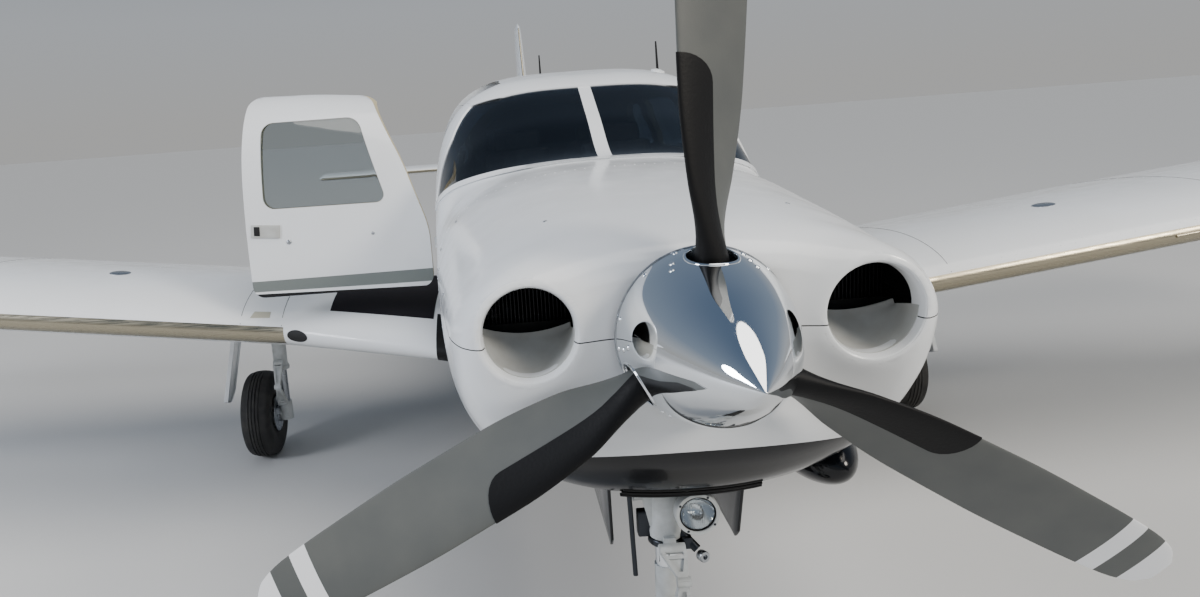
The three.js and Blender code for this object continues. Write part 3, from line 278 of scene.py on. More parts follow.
tinted = finish("tinted_acrylic", "#414c5a", 0, IOR=1.49, Transmission_Weight=1)
side_tinted = finish("side_window_acrylic", "#bcc4c6", 0, IOR=1.49, Transmission_Weight=1)
lens = finish("clear_lamp_glass", "#f4f7f8", 0.02, Transmission_Weight=1)
FLUTE_PITCH = 0.0045
where, lens_axes = places(lens)
flutes = sums(lens, "SINE", sums(lens, "MULTIPLY", lens_axes.outputs["X"], 2 * pi / FLUTE_PITCH))
bumpy(lens, flutes, 0.00018)
mirror = finish("silvered_reflector", "#dfe2e4", 0.06, 1)
# Near-black finish for the dials, radios, baffles and the cowl's inside. On the wing-root inlet sheet the same black
# is painted shade.
black_and_hole_shade = finish("engine_black_and_painted_hole_shade", "#0b0b0c", 0.7)
fin_metal = finish("cast_cooling_fins", "#2b2c2e", 0.5, 0.7)
duct_grey = finish("duct_enamel", "#b9bcbb", 0.45)
feed(duct_grey, "Base Color", toned(duct_grey, 0.05, 0.5, "#c4c6c4", "#a5a39c", 6))
walk_black = finish("non_slip_walkway", "#17141a", 0.85, Specular_IOR_Level=0.25)
grained(walk_black, 0.0025, 0.0006)
cream = finish("moulded_cream_trim", "#d8cba6", 0.5, IOR=1.46)
grained(cream, 0.0015, 0.0001)
panel_black = finish("crackle_black_panel", "#17181a", 0.62)
grained(panel_black, 0.002, 0.0002)
carpet = finish("loop_carpet", "#55524c", 0.95)
grained(carpet, 0.004, 0.002)
print("materials", len(bpy.data.materials))

# %% [markdown]
# ## Shapes by hand
# Skins are rolled: a flat grid is one primitive, and its rows are laid on the aircraft's sections, the way sheet
# metal goes round formers. Turned pieces are an outline spun round an axis. Openings are cut with a prism of
# the opening's outline, because a cut leaves an edge as true as a template does.


# %% Tools for shapes
MERGE = 2e-5


def only(piece):
    """Makes one piece the selected and active one."""
    bpy.ops.object.select_all(action="DESELECT")
    piece.select_set(True)
    bpy.context.view_layer.objects.active = piece


def added(operator, **settings):
    """Adds a primitive with nothing else selected."""
    bpy.ops.object.select_all(action="DESELECT")
    operator(**settings)
    return bpy.context.object


def in_edit(piece, *steps, edges=None):
    """Runs steps in edit mode, on everything or on the edges that a test picks."""
    only(piece)
    bpy.ops.object.mode_set(mode="EDIT")
    bpy.ops.mesh.select_all(action="DESELECT" if edges else "SELECT")
    if edges:
        bpy.ops.object.mode_set(mode="OBJECT")
        for edge in piece.data.edges:
            edge.select = edges(edge)
        bpy.ops.object.mode_set(mode="EDIT")
        bpy.ops.mesh.select_mode(type="EDGE")
    for step in steps:
        step()
    if edges:
        bpy.ops.mesh.select_mode(type="VERT")
    bpy.ops.object.mode_set(mode="OBJECT")


def outward():
    bpy.ops.mesh.select_all(action="SELECT")
    bpy.ops.mesh.normals_make_consistent()


def merge():
    bpy.ops.mesh.remove_doubles(threshold=MERGE)


def placed(piece, points):
    """Moves a piece's vertices to a list of points, in order."""
    piece.data.vertices.foreach_set("co", [value for point in points for value in point])
    piece.data.update()


def clad(piece, *materials):
    """Replaces a piece's finishes."""
    piece.data.materials.clear()
    for material in materials:
        piece.data.materials.append(material)
    return piece


def settled(piece, name, material):
    """Names a piece, applies its place and gives it a finish."""
    only(piece)
    bpy.ops.object.transform_apply()
    piece.name = piece.data.name = name
    return clad(piece, material)


def rolled(name, rings, material, capped=True, closed=True):
    """A skin through rows of points: a grid rolled round them, closed at its ends."""
    rings = [[*ring, ring[0]] if closed else list(ring) for ring in rings]
    piece = added(bpy.ops.mesh.primitive_grid_add, x_subdivisions=len(rings[0]) - 1, y_subdivisions=len(rings) - 1,
        size=1)
    placed(piece, [point for ring in rings for point in ring])
    in_edit(piece, merge, lambda: bpy.ops.mesh.fill_holes(sides=0) if capped and closed else None, outward)
    return settled(piece, name, material)


def spun(name, outline, centre, axis, material, closed=True, steps=64):
    """A turned piece: an outline of (radius, along) spun round an axis through centre."""
    axis = Vector(axis).normalized()
    side = axis.orthogonal().normalized()
    last = len(outline) - 1
    piece = added(bpy.ops.mesh.primitive_circle_add, vertices=len(outline))
    placed(piece, [Vector(centre) + side * radius + axis * along for radius, along in outline])
    if not closed:
        in_edit(piece, lambda: bpy.ops.mesh.delete(type="EDGE"), edges=lambda edge: set(edge.vertices) == {0, last})
    in_edit(piece, lambda: bpy.ops.mesh.spin(steps=steps, angle=2 * pi, center=centre, axis=axis),
        lambda: bpy.ops.mesh.select_all(action="SELECT"), merge, lambda: bpy.ops.mesh.dissolve_degenerate(
        threshold=1e-6), outward)
    return settled(piece, name, material)


def lathed(name, rows, x, z, material, closed=True, steps=64):
    """A piece turned round a line that runs fore and aft: rows of radius and station."""
    return spun(name, [(r, s - MIDDLE) for r, s in rows], (x, 0, z), (0, 1, 0), material, closed, steps)


def prism(name, outline, low, high, material=white, corner=0, axis="X"):
    """An outline carried along an axis. Along X it is (station, z), along Z (x, station), along Y (x, z)."""
    index = "XYZ".index(axis)
    travel = Vector()
    travel[index] = high - low
    piece = added(bpy.ops.mesh.primitive_circle_add, vertices=len(outline), fill_type="NGON")
    placed(piece, [at(*spot[:index], low, *spot[index:]) for spot in outline])
    in_edit(piece, lambda: bpy.ops.mesh.extrude_region_move(TRANSFORM_OT_translate={"value": travel[:]}), outward)

    def carried(edge):
        first, second = (piece.data.vertices[i].co for i in edge.vertices)
        return abs((first - second).normalized().dot(travel.normalized())) > 0.999

    if corner:
        in_edit(piece, lambda: bpy.ops.mesh.bevel(offset=corner, segments=6), edges=carried)
    return settled(piece, name, material)


def bar(name, start, end, radius, material, end_radius=None, sides=24):
    """A round bar or cone from one point to another."""
    start, end = Vector(start), Vector(end)
    way = end - start
    piece = added(bpy.ops.mesh.primitive_cone_add, vertices=sides, radius1=radius,
        radius2=radius if end_radius is None else end_radius, depth=way.length, location=(start + end) / 2,
        rotation=way.to_track_quat("Z", "Y").to_euler())
    return settled(piece, name, material)


def block(name, low, high, material=white):
    """A plain box between two corners."""
    low, high = Vector(low), Vector(high)
    piece = added(bpy.ops.mesh.primitive_cube_add, size=1, location=(low + high) / 2)
    piece.scale = high - low
    return settled(piece, name, material)


def ball(name, place, radius, scale, segments, rings, material, turn=(0, 0, 0)):
    """A ball squashed to an egg or a dome."""
    piece = added(bpy.ops.mesh.primitive_uv_sphere_add, segments=segments, ring_count=rings, radius=radius,
        location=place, rotation=turn)
    piece.scale = scale
    return settled(piece, name, material)


def twin(piece, name):
    """A copy with its own mesh."""
    copy = piece.copy()
    copy.data = piece.data.copy()
    copy.name = name
    bpy.context.collection.objects.link(copy)
    return copy


def discard(*pieces):
    for piece in pieces:
        bpy.data.objects.remove(piece)


def modified(piece, kind, **settings):
    only(piece)
    modifier = piece.modifiers.new(kind.lower(), kind)
    for name, value in settings.items():
        setattr(modifier, name, value)
    bpy.ops.object.modifier_apply(modifier=modifier.name)
    return piece


def combined(piece, operation, *tools, keep=False):
    """Joins, cuts or trims a closed piece with others. A cut face takes the finish of its cutter."""
    for tool in tools:
        modified(piece, "BOOLEAN", operation=operation, object=tool, solver="MANIFOLD", material_mode="TRANSFER")
    if not keep:
        discard(*tools)
    return piece


def cut(piece, *tools, keep=False):
    return combined(piece, "DIFFERENCE", *tools, keep=keep)


def fused(piece, *others):
    return combined(piece, "UNION", *others)


def trimmed(piece, *tools, keep=False):
    return combined(piece, "INTERSECT", *tools, keep=keep)


def together(name, pieces):
    """Joins separate pieces into one object, each with its finish."""
    bpy.ops.object.select_all(action="DESELECT")
    for piece in pieces:
        piece.select_set(True)
    bpy.context.view_layer.objects.active = pieces[0]
    bpy.ops.object.join()
    pieces[0].name = name
    return pieces[0]


def smooth(piece, degrees=35):
    only(piece)
    bpy.ops.object.shade_smooth_by_angle(angle=radians(degrees))
    return piece


def softened(piece, width, segments=2):
    """Rounds the edges as a casting or a machined piece has them."""
    modified(piece, "BEVEL", width=width, segments=segments, angle_limit=radians(35))
    return smooth(piece, 30)


def fitted(piece, slot, *nodes, body="airframe"):
    """Lets a piece ride with a body and hides the plain solids it stands for. The slot is not used."""
    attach(piece, body)
    if nodes:
        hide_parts(*nodes)
    print(piece.name, len(piece.data.polygons), "faces on", body)
    return piece


def painted(piece, degrees, *nodes, body="airframe"):
    """A white piece: smoothed below an angle and fitted."""
    return fitted(smooth(piece, degrees), "white_paint", *nodes, body=body)


# %% [markdown]
# ## The fuselage's form
# The body is a row of oval sections: flat-sided and square at the cabin, round at the nose and tail. A real
# loft draws smooth lines through a few drawn sections. So does this one: between two rows every measure follows
# a smooth curve that never overshoots them.

# %% Sections of the fuselage
# Station, half width, bottom, widest height, top, lower and upper roundness
SECTIONS = [
    (0.395, 0.38, 1, 1.2, 1.342, 2.3, 2.2),
    (0.41, 0.45, 0.945, 1.2, 1.372, 2.3, 2.2),
    (0.44, 0.487, 0.895, 1.195, 1.395, 2.3, 2.2),
    (0.52, 0.512, 0.812, 1.19, 1.42, 2.3, 2.3),
    (0.7, 0.531, 0.748, 1.18, 1.445, 2.5, 2.4),
    (1, 0.556, 0.69, 1.165, 1.468, 2.7, 2.5),
    (1.3, 0.577, 0.645, 1.155, 1.487, 2.9, 2.6),
    (1.6, 0.593, 0.615, 1.15, 1.5, 3, 2.6),
    (1.9, 0.608, 0.605, 1.16, 1.64, 3.1, 3),
    (2.2, 0.616, 0.6, 1.175, 1.778, 3.1, 3.5),
    (2.3, 0.617, 0.6, 1.178, 1.803, 3.1, 3.6),
    (2.5, 0.618, 0.6, 1.18, 1.822, 3.1, 3.6),
    (2.8, 0.618, 0.602, 1.18, 1.834, 3.1, 3.6),
    (3.3, 0.608, 0.612, 1.18, 1.832, 3, 3.4),
    (3.7, 0.585, 0.635, 1.18, 1.815, 2.9, 3.1),
    (4.3, 0.505, 0.705, 1.182, 1.735, 2.8, 2.8),
    (5.2, 0.355, 0.835, 1.186, 1.565, 2.6, 2.5),
    (6.2, 0.205, 0.96, 1.19, 1.42, 2.4, 2.3),
    (7, 0.105, 1.05, 1.19, 1.325, 2.2, 2.2),
    (7.3, 0.06, 1.095, 1.195, 1.288, 2, 2),
]
AROUND, SHEET = 128, 0.012


def between(rows, place):
    """Every column of the rows at a place, on smooth curves that keep between the rows."""
    last = len(rows) - 1
    k = next((i - 1 for i, row in enumerate(rows) if row[0] > place), last - 1)
    k = max(0, min(last - 1, k))
    span = rows[k + 1][0] - rows[k][0]
    t = (place - rows[k][0]) / span

    def slope(i, column):
        return (rows[i + 1][column] - rows[i][column]) / (rows[i + 1][0] - rows[i][0])

    def tangent(i, column):
        if i in (0, last):
            return slope(min(i, last - 1), column)
        before, after = slope(i - 1, column), slope(i, column)
        return 0 if before * after <= 0 else 2 * before * after / (before + after)

    h00, h10, h01, h11 = 2 * t**3 - 3 * t**2 + 1, t**3 - 2 * t**2 + t, 3 * t**2 - 2 * t**3, t**3 - t**2
    return [place, *[h00 * rows[k][c] + h10 * span * tangent(k, c) + h01 * rows[k + 1][c] + h11 * span * tangent(
        k + 1, c) for c in range(1, len(rows[0]))]]


def power(value, exponent):
    return copysign(abs(value) ** exponent, value)


def turns(count, first=0):
    """Even angles round a circle."""
    return [2 * pi * (i + first) / count for i in range(count)]


def section(station, inset=0, count=AROUND):
    """One oval section of the fuselage."""
    _, half, bottom, widest, top, lower, upper = between(SECTIONS, station)
    ring = []
    for turn in turns(count, 0.5):
        across, rise = cos(turn), sin(turn)
        exponent = 2 / (upper if rise > 0 else lower)
        height = (top - inset - widest) if rise > 0 else (widest - bottom - inset)
        ring.append(at(power(across, exponent) * (half - inset), station, widest + height * power(rise, exponent)))
    return ring


def steps(low, high, spacing):
    """Even steps from low to high, about a spacing apart."""
    count = max(1, round((high - low) / spacing))
    return [low + (high - low) * i / count for i in range(count + 1)]


def form(name, inset, low, high, spacing=0.04, count=AROUND):
    """The fuselage's closed form between two stations, moved inwards by inset."""
    return rolled(name, [section(s, inset, count) for s in steps(low, high, spacing)], white)


def frame_sheet(name, start, flat):
    """A sheet across the whole fuselage: its rim is painted and its faces have a finish of their own."""
    sheet_across = clad(form(name, 0, start, start + SHEET, SHEET), livery, flat)
    for face in sheet_across.data.polygons:
        face.material_index = int(abs(face.normal.y) > 0.9)
    return smooth(sheet_across)


print("half width at the door", round(between(SECTIONS, 2.4)[1], 3))

# %% [markdown]
# ## The cowl
# The cowl is moulded in two halves that meet along a seam through the two round inlets. Its face is a flat
# plate behind the spinner, and round each inlet the moulding swells into a thick lip. A subdivided block could
# be pulled into this shape, but rolling the grid on over the face keeps every row at a known station, and the
# lips are then raised by moving the points that lie near them.

# %% Cowl form
COWL_FRONT, FIREWALL = 0.395, 1.3
COWL_SEAM = 1.21
INLET_X, INLET_Z, INLET_R = 0.345, 1.233, 0.093
LIP_FRONT, LIP_REACH, COWL_WALL = 0.38, 0.062, 0.012


def face_ring(share, inset):
    """A ring on the cowl's face: the front section drawn in towards the thrust line."""
    middle = at(0, COWL_FRONT + inset, THRUST_Z)
    return [middle + (point - middle) * share + Vector((0, inset, 0)) for point in section(COWL_FRONT, inset, 192)]


def cowl_form(name, inset, end, front_step, side_step, material):
    face = [face_ring(share, inset) for share in steps(0.02, 0.96, front_step)]
    rounding = [section(s, inset, 192) for s in (0.395, 0.4, 0.405, 0.41, 0.418, 0.426, 0.434, 0.444, 0.456, 0.47)]
    if inset:
        rounding = [[point + Vector((0, inset, 0)) for point in ring] for ring in rounding]
    sides = [section(s, inset, 192) for s in steps(0.49, end, side_step)]
    return rolled(name, [*face, *rounding, *sides], material)


def raise_lips(piece):
    """Draws the skin round each inlet forwards to the lip's plane."""
    for vertex in piece.data.vertices:
        for side in (-1, 1):
            away = hypot(vertex.co.x - side * INLET_X, vertex.co.z - INLET_Z) - INLET_R - COWL_WALL
            share = exp(-((max(0, away) / LIP_REACH) ** 1.6) * 2.2)
            if vertex.co.y < 0.52 - MIDDLE and share > 0.01:
                vertex.co.y += (LIP_FRONT - MIDDLE - vertex.co.y) * share


cowl = cowl_form("cowl", 0, FIREWALL - 0.0005, 0.018, 0.03, livery)
raise_lips(cowl)
cowl_inside = cowl_form("cowl_inside", COWL_WALL, FIREWALL + 0.08, 0.1, 0.05, black_and_hole_shade)
raise_lips(cowl_inside)
cowl_inside.data.transform(Matrix.Translation((0, COWL_WALL, 0)))
bores = [bar("bore", at(x, 0.33, INLET_Z), at(x, 0.53, INLET_Z), INLET_R + 0.008, duct_grey, sides=96)
    for x in (-INLET_X, INLET_X)]
shaft_hole = bar("shaft_hole", at(0, 0.33, THRUST_Z), at(0, 0.46, THRUST_Z), 0.15, black_and_hole_shade, sides=64)
cut(cowl, cowl_inside, *bores, shaft_hole)


def inlet_lip(side):
    """The thick round lip of an inlet."""
    r = INLET_R
    outline = [(r, 0.402), (r + 0.0015, 0.392), (r + 0.005, 0.3825), (r + 0.01, 0.38), (r + 0.016, 0.3805),
        (r + 0.021, 0.384), (r + 0.021, 0.4), (r + 0.012, 0.43), (r, 0.43)]
    return lathed("lip", outline, side * INLET_X, INLET_Z, livery, steps=96)


fused(cowl, inlet_lip(-1), inlet_lip(1))
print("cowl", len(cowl.data.polygons), "faces")

# %% Cowl halves with the nose gear well and the lower scoop
WELL_HALF, WELL_FRONT, WELL_BACK = 0.15, 0.575, 1.285
SEAM_GAP = 0.0012
cowl_upper = twin(cowl, "cowl_upper_skin")
trimmed(cowl_upper, block("above", at(-2, 0, COWL_SEAM + SEAM_GAP), at(2, 2, 3), black_and_hole_shade))
cowl_lower = cowl
cowl_lower.name = "cowl_lower_skin"
trimmed(cowl_lower, block("below", at(-2, 0, 0), at(2, 2, COWL_SEAM - SEAM_GAP), black_and_hole_shade))
cut(cowl_lower, block("well", at(-WELL_HALF, WELL_FRONT, 0.4), at(WELL_HALF, WELL_BACK, 0.96), navy_paint))
scoop = ball("scoop", at(0.365, 0.85, 0.8), 1, (0.095, 0.27, 0.09), 64, 32, livery)
fused(cowl_lower, cut(scoop, form("skin", 0.006, COWL_FRONT, FIREWALL)))
for piece, node in ((cowl_upper, "cowl_upper"), (cowl_lower, "cowl_lower")):
    painted(piece, 40, node)

# %% [markdown]
# ## The air inlets
# Behind each lip the lower half of the hole is closed by a pressed bowl that climbs back to the seam's height,
# so the air has to go over it to the cylinders. The upper half is open and shows the cooling fins in the dark.
# The bowl is a grid whose front row follows the lip and whose back row is the bowl's turned edge.

# %% Bowls and cooling fins
BOWL_FRONT, BOWL_DEPTH = 0.4, 0.125


def bowl(side):
    rows = []
    for t in steps(0, 1, 1 / 16):
        row = []
        for turn in steps(pi, 2 * pi, pi / 32):
            x, z = INLET_R * cos(turn), INLET_R * sin(turn)
            dip = 1 - (x / INLET_R) ** 2
            far_z = -0.021 - 0.022 * dip
            sag = -0.016 * sin(pi * t) * dip
            row.append(at(side * INLET_X + x * (1 + 0.02 * t), BOWL_FRONT + BOWL_DEPTH * t * (0.85 + 0.15 * dip),
                INLET_Z + z + (far_z - z) * t ** 1.3 + sag))
        rows.append(row)
    edge = [point + Vector((0, 0.006, 0.009)) for point in rows[-1]]
    turned_over = [point + Vector((0, 0.014, 0.007)) for point in rows[-1]]
    piece = rolled("bowl", [*rows, edge, turned_over], duct_grey, closed=False)
    modified(piece, "SOLIDIFY", thickness=0.002, offset=0)
    return smooth(piece, 50)


fitted(together("inlet_bowls", [bowl(-1), bowl(1)]), "white_paint")

FIN_PITCH, FIN_THICKNESS = 0.0085, 0.0022
fins = []
for side in (-1, 1):
    for i in range(24):
        x = side * INLET_X + (i - 11.5) * FIN_PITCH
        fins.append(block("fin", at(x, 0.575, INLET_Z - 0.02), at(x + FIN_THICKNESS, 0.618, INLET_Z + 0.1),
            fin_metal))
    fins.append(block("baffle", at(side * INLET_X - 0.12, 0.57, INLET_Z - 0.06),
        at(side * INLET_X + 0.12, 0.618, INLET_Z - 0.02), black_and_hole_shade))
fitted(together("cooling_fins", fins), "engine")

# %% [markdown]
# ## Spinner, hub and blades
# The spinner is spun from one disc and plated, with three holes for the blades. Each hole has a rolled edge.
# Domed screws hold the shell to the plate behind it. An outline spun round the thrust line gives the shell, and
# the holes are bored along the blades.

# %% Spinner
SPINNER_BACK, BLADE_S, BLADE_HOLE, RIM = 0.37, 0.317, 0.05, 0.003
SPINNER_OUTLINE = [(0, 0), (0.021, 0.022), (0.0525, 0.058), (0.0925, 0.12), (0.1335, 0.2), (0.1595, 0.28),
    (0.172, 0.34), (0.175, 0.37)]
BLADE_TURNS = [radians(angle) for angle in (1.5, 121.5, 241.5)]


def outline_radius(station):
    return between([(s, r) for r, s in SPINNER_OUTLINE], station)[1]


def turned_to(piece, turn):
    """Turns a piece round the thrust line."""
    centre = Matrix.Translation((0, 0, THRUST_Z))
    piece.data.transform(centre @ Matrix.Rotation(turn, 4, "Y") @ centre.inverted())
    return piece


shell_stations = [SPINNER_BACK * (i / 40) ** 1.25 for i in range(41)]
outer = [(outline_radius(s), s) for s in shell_stations]
inner = [(max(0, outline_radius(s) - 0.006), s + 0.002) for s in reversed(shell_stations) if s > 0.03]
spinner = lathed("spinner_shell", [*outer, *inner, (0, 0.03)], 0, THRUST_Z, chrome, closed=False, steps=128)


def along_blade(name, low, high, radius, material, turn=0, station=BLADE_S, sides=24):
    """A round bar along a blade, between two distances from the hub."""
    return turned_to(bar(name, at(0, station, THRUST_Z + low), at(0, station, THRUST_Z + high), radius, material,
        sides=sides), turn)


for turn in BLADE_TURNS:
    cut(spinner, along_blade("hole", 0.08, 0.26, BLADE_HOLE, chrome, turn, sides=64))
smooth(spinner, 40)


def hole_rim(turn):
    """The rolled edge of a blade hole, lying on the curved shell."""
    rings = []
    for a in steps(0, 2 * pi, pi / 32):
        ring = []
        for b in turns(8):
            reach = BLADE_HOLE + RIM * cos(b)
            x, s = reach * cos(a), BLADE_S + reach * sin(a)
            radius = outline_radius(min(s, SPINNER_BACK))
            ring.append(at(x, s, THRUST_Z + sqrt(radius ** 2 - x ** 2) + RIM * sin(b)))
        rings.append(ring)
    return turned_to(rolled("rim", rings, chrome, capped=False), turn)


def dome(name, place, normal, radius, material):
    """A domed screw or rivet head standing on a surface."""
    turn = Vector(normal).to_track_quat("Z", "Y").to_euler()
    return ball(name, place, radius, (1, 1, 0.45), 12, 6, material, turn)


def on_spinner(turn, station, size):
    """A screw on the spinner at an angle round it."""
    radius = outline_radius(station)
    outwards = Vector((sin(turn), -0.16, cos(turn)))
    place = at(radius * sin(turn), station, THRUST_Z + radius * cos(turn))
    return dome("screw", place, outwards, size, chrome)


# Screws beside each blade hole: degrees round from the blade, station
SPINNER_SCREWS = [(24, 0.352), (26, 0.321), (29.5, 0.298), (43.5, 0.356), (-19.5, 0.364), (-26, 0.321), (-29, 0.298),
    (-43.5, 0.356)]
spinner_bits = [hole_rim(turn) for turn in BLADE_TURNS]
spinner_bits += [on_spinner(blade_turn + radians(degrees), station, 0.0062) for blade_turn in BLADE_TURNS for degrees,
    station in SPINNER_SCREWS]
spinner_trim = smooth(together("spinner_rims_and_screws", spinner_bits), 50)
backplate = smooth(lathed("spinner_backplate", [(0.06, 0.358), (0.168, 0.358), (0.1685, 0.371), (0.1765, 0.371),
    (0.1775, 0.374), (0.1765, 0.378), (0.06, 0.378)], 0, THRUST_Z, steel, steps=128), 40)
fitted(spinner, "chrome", "spinner", body="propeller")
fitted(spinner_trim, "chrome", body="propeller")
fitted(backplate, "steel", body="propeller")

hub = lathed("hub_shell", [(0, 0.252), (0.05, 0.252), (0.066, 0.262), (0.072, 0.28), (0.072, 0.35), (0.066, 0.357),
    (0, 0.357)], 0, THRUST_Z, hub_metal, closed=False, steps=48)
for turn in BLADE_TURNS:
    fused(hub, along_blade("collar", 0.03, 0.095, 0.044, hub_metal, turn, BLADE_S - 0.01))
shaft = bar("propeller_shaft", at(0, 0.377, THRUST_Z), at(0, 0.6, THRUST_Z), 0.04, steel)
fitted(softened(hub, 0.003), "steel", "propeller_hub", body="propeller")
fitted(softened(shaft, 0.004), "steel", body="propeller")

# %% [markdown]
# Each blade is a lofted twist: round at the root, then a thin aerofoil that flattens towards the tip. A rolled
# grid follows its sections, so the leading edge stays one clean line. The rubber boot is a second skin over the
# first half of that edge, with a rounded outer end, as it is glued on.

# %% Blades and boots
# Radius, chord, thickness, blade angle in degrees, how round the section is
BLADE = [
    (0.06, 0.066, 0.066, 62, 1),
    (0.15, 0.068, 0.062, 60, 1),
    (0.215, 0.096, 0.046, 52, 0.5),
    (0.315, 0.148, 0.032, 43, 0.1),
    (0.472, 0.171, 0.024, 34, 0),
    (0.63, 0.171, 0.018, 28, 0),
    (0.819, 0.158, 0.013, 23, 0),
    (0.966, 0.137, 0.01, 20, 0),
    (1.024, 0.105, 0.008, 19, 0),
    (1.05, 0.053, 0.005, 18, 0),
]
BLADE_POINTS = 48


def blade_point(radius, turn, skin=0):
    """A point on the upright blade: turn 0 is the leading edge, and skin stands off the surface."""
    _, chord, thickness, degrees, roundness = between(BLADE, radius)
    angle = radians(degrees)
    reach = cos(turn) * (chord / 2 + skin)
    thin = sin(turn) * (0.62 + 0.38 * cos(turn))
    lift = (thin + (sin(turn) - thin) * roundness) * (thickness / 2 + skin)
    return at(-reach * cos(angle) + lift * sin(angle), BLADE_S - reach * sin(angle) - lift * cos(angle),
        THRUST_Z + radius)


blade_radii = [*steps(0.06, 0.966, 0.02), 0.985, 1, 1.012, 1.024, 1.032, 1.039, 1.0445, 1.048, 1.05]
first_blade = smooth(rolled("blade", [[blade_point(radius, turn) for turn in turns(BLADE_POINTS)]
    for radius in blade_radii], blade_paint), 60)
BOOT_START, BOOT_ROUND, BOOT_END = 0.105, 0.483, 0.537


def boot_reach(radius):
    """How far round the section the boot goes, as an angle from the leading edge."""
    width = 0.44 - 0.02 * sin(radius * 9)
    if radius > BOOT_ROUND:
        width *= sqrt(max(0, 1 - ((radius - BOOT_ROUND) / (BOOT_END - BOOT_ROUND)) ** 2))
    if radius < 0.25:
        width += (0.25 - radius) * 1.4
    return acos(1 - 2 * width)


boot_rows = []
boot_tip = [BOOT_ROUND + (BOOT_END - BOOT_ROUND) * share for share in (0.2, 0.4, 0.6, 0.75, 0.87, 0.95, 0.985, 0.999)]
for radius in [*steps(BOOT_START, BOOT_ROUND, 0.02), *boot_tip]:
    limit = boot_reach(radius)
    boot_rows.append([blade_point(radius, limit * k / 14, 0.0022) for k in range(-14, 15)])
first_boot = rolled("boot", boot_rows, boot_rubber, closed=False)
smooth(modified(first_boot, "SOLIDIFY", thickness=0.0026), 45)
first_cuff = softened(along_blade("cuff", 0.085, 0.115, 0.0375, seal_rubber, sides=48), 0.004)
for number, turn in enumerate(BLADE_TURNS, start=1):
    for first, kind, slot, nodes in ((first_blade, "painted", "blade", [f"propeller_blade_{number}"]),
            (first_boot, "boot", "tyre", []), (first_cuff, "cuff", "tyre", [])):
        fitted(turned_to(twin(first, f"blade_{number}_{kind}"), turn), slot, *nodes, body="propeller")
discard(first_blade, first_boot, first_cuff)

# %% [markdown]
# ## The cabin
# The cabin is sheet metal over frames, about a hand's width thick with its trim. Its outside is the fuselage's
# form and its inside is the same form drawn in, finished in cream trim. The windows and doors are cut with the
# outline of each one, so a door is exactly the piece that its opening has lost.

# %% Outlines in station and height
CABIN_START, BULKHEAD = FIREWALL + 0.0123, 4.3
FLOOR_TOP, ROOF_SEAM, CABIN_WALL = 0.75, 1.716, 0.035
CORNER = 0.045
WINDSCREEN = [(1.585, 1.508), (1.66, 1.482), (1.75, 1.442), (1.895, 1.362), (1.977, 1.456), (2.049, 1.582),
    (2.13, 1.67), (2.16, 1.704), (2.118, 1.728), (2.112, 1.9), (1.5, 1.9), (1.5, 1.575)]
DECK = [(1.3123, 1.24), (1.9, 1.24), (1.925, 1.3), (1.65, 1.6), (1.3123, 1.6)]
FRONT_DOOR = [(2.07, 1.018), (2.072, 1.25), (2.105, 1.355), (2.16, 1.52), (2.283, 1.78), (2.5, 1.8), (2.765, 1.806),
    (2.78, 1.53), (2.788, 1.25), (2.788, 1.018)]
DOOR_WINDOW = [(2.228, 1.365), (2.325, 1.697), (2.7, 1.697), (2.708, 1.368)]
MIDDLE_WINDOW = [(2.83, 1.388), (2.83, 1.69), (3.43, 1.685), (3.47, 1.388)]
REAR_WINDOW = [(3.57, 1.392), (3.545, 1.67), (3.8, 1.645), (3.95, 1.4)]
BAGGAGE_DOOR = [(3.62, 0.99), (3.62, 1.32), (4.15, 1.32), (4.15, 0.99)]
DOOR_GAP, PANEL_GAP = 0.006, 0.0012


def grown(outline, distance):
    """Moves each edge of an outline outwards."""
    count = len(outline)
    area = sum(px * qy - qx * py for (px, py), (qx, qy) in zip(outline, [*outline[1:], outline[0]]))
    result = []
    for i, (x, y) in enumerate(outline):
        normals = []
        for (px, py), (qx, qy) in ((outline[i - 1], (x, y)), ((x, y), outline[(i + 1) % count])):
            length = hypot(qx - px, qy - py)
            normals.append(((qy - py) / length, (px - qx) / length))
        (nx, ny), (mx, my) = normals
        scale = copysign(distance, area) / (1 + nx * mx + ny * my)
        result.append((x + (nx + mx) * scale, y + (ny + my) * scale))
    return result


SIDES = {"left": (0.2, 0.9), "right": (-0.9, -0.2)}
BOTH_SIDES = ((-1, "right"), (1, "left"))


def opening(outline, side, gap=0, corner=CORNER, material=None):
    """A cutter for a window or door on one side."""
    return prism("opening", grown(outline, gap) if gap else outline, *SIDES[side], material or cream, corner)


# %% Cabin shell, floor and deck
def cabin_form(inset, material, ahead=0, spacing=0.03):
    return clad(form("cabin", inset, CABIN_START - ahead, BULKHEAD - 0.0003 + ahead, spacing), material)


outside = cabin_form(0, livery)
floor = trimmed(twin(outside, "cabin_floor_and_belly"), block("below", at(-2, 0, 0), at(2, 6, FLOOR_TOP), carpet))
fitted(smooth(floor, 30), "floor", "cabin_floor")
shell = twin(outside, "shell")
cut(shell, cabin_form(CABIN_WALL, cream, 0.05, 0.06), block("under", at(-2, 0, 0), at(2, 6, FLOOR_TOP + PANEL_GAP),
    carpet))
pane = clad(cut(twin(outside, "pane"), cabin_form(0.008, tinted, 0.05)), tinted)
screen_hole = prism("screen", WINDSCREEN, -0.9, 0.9)
cut(shell, screen_hole, keep=True)
deck = trimmed(twin(shell, "deck"), prism("deck_cut", DECK, -0.9, 0.9))
cut(shell, prism("deck_gap", grown(DECK, PANEL_GAP), -0.9, 0.9))
windscreen = trimmed(twin(pane, "windscreen"), screen_hole, keep=True)
POST_HALF = 0.024
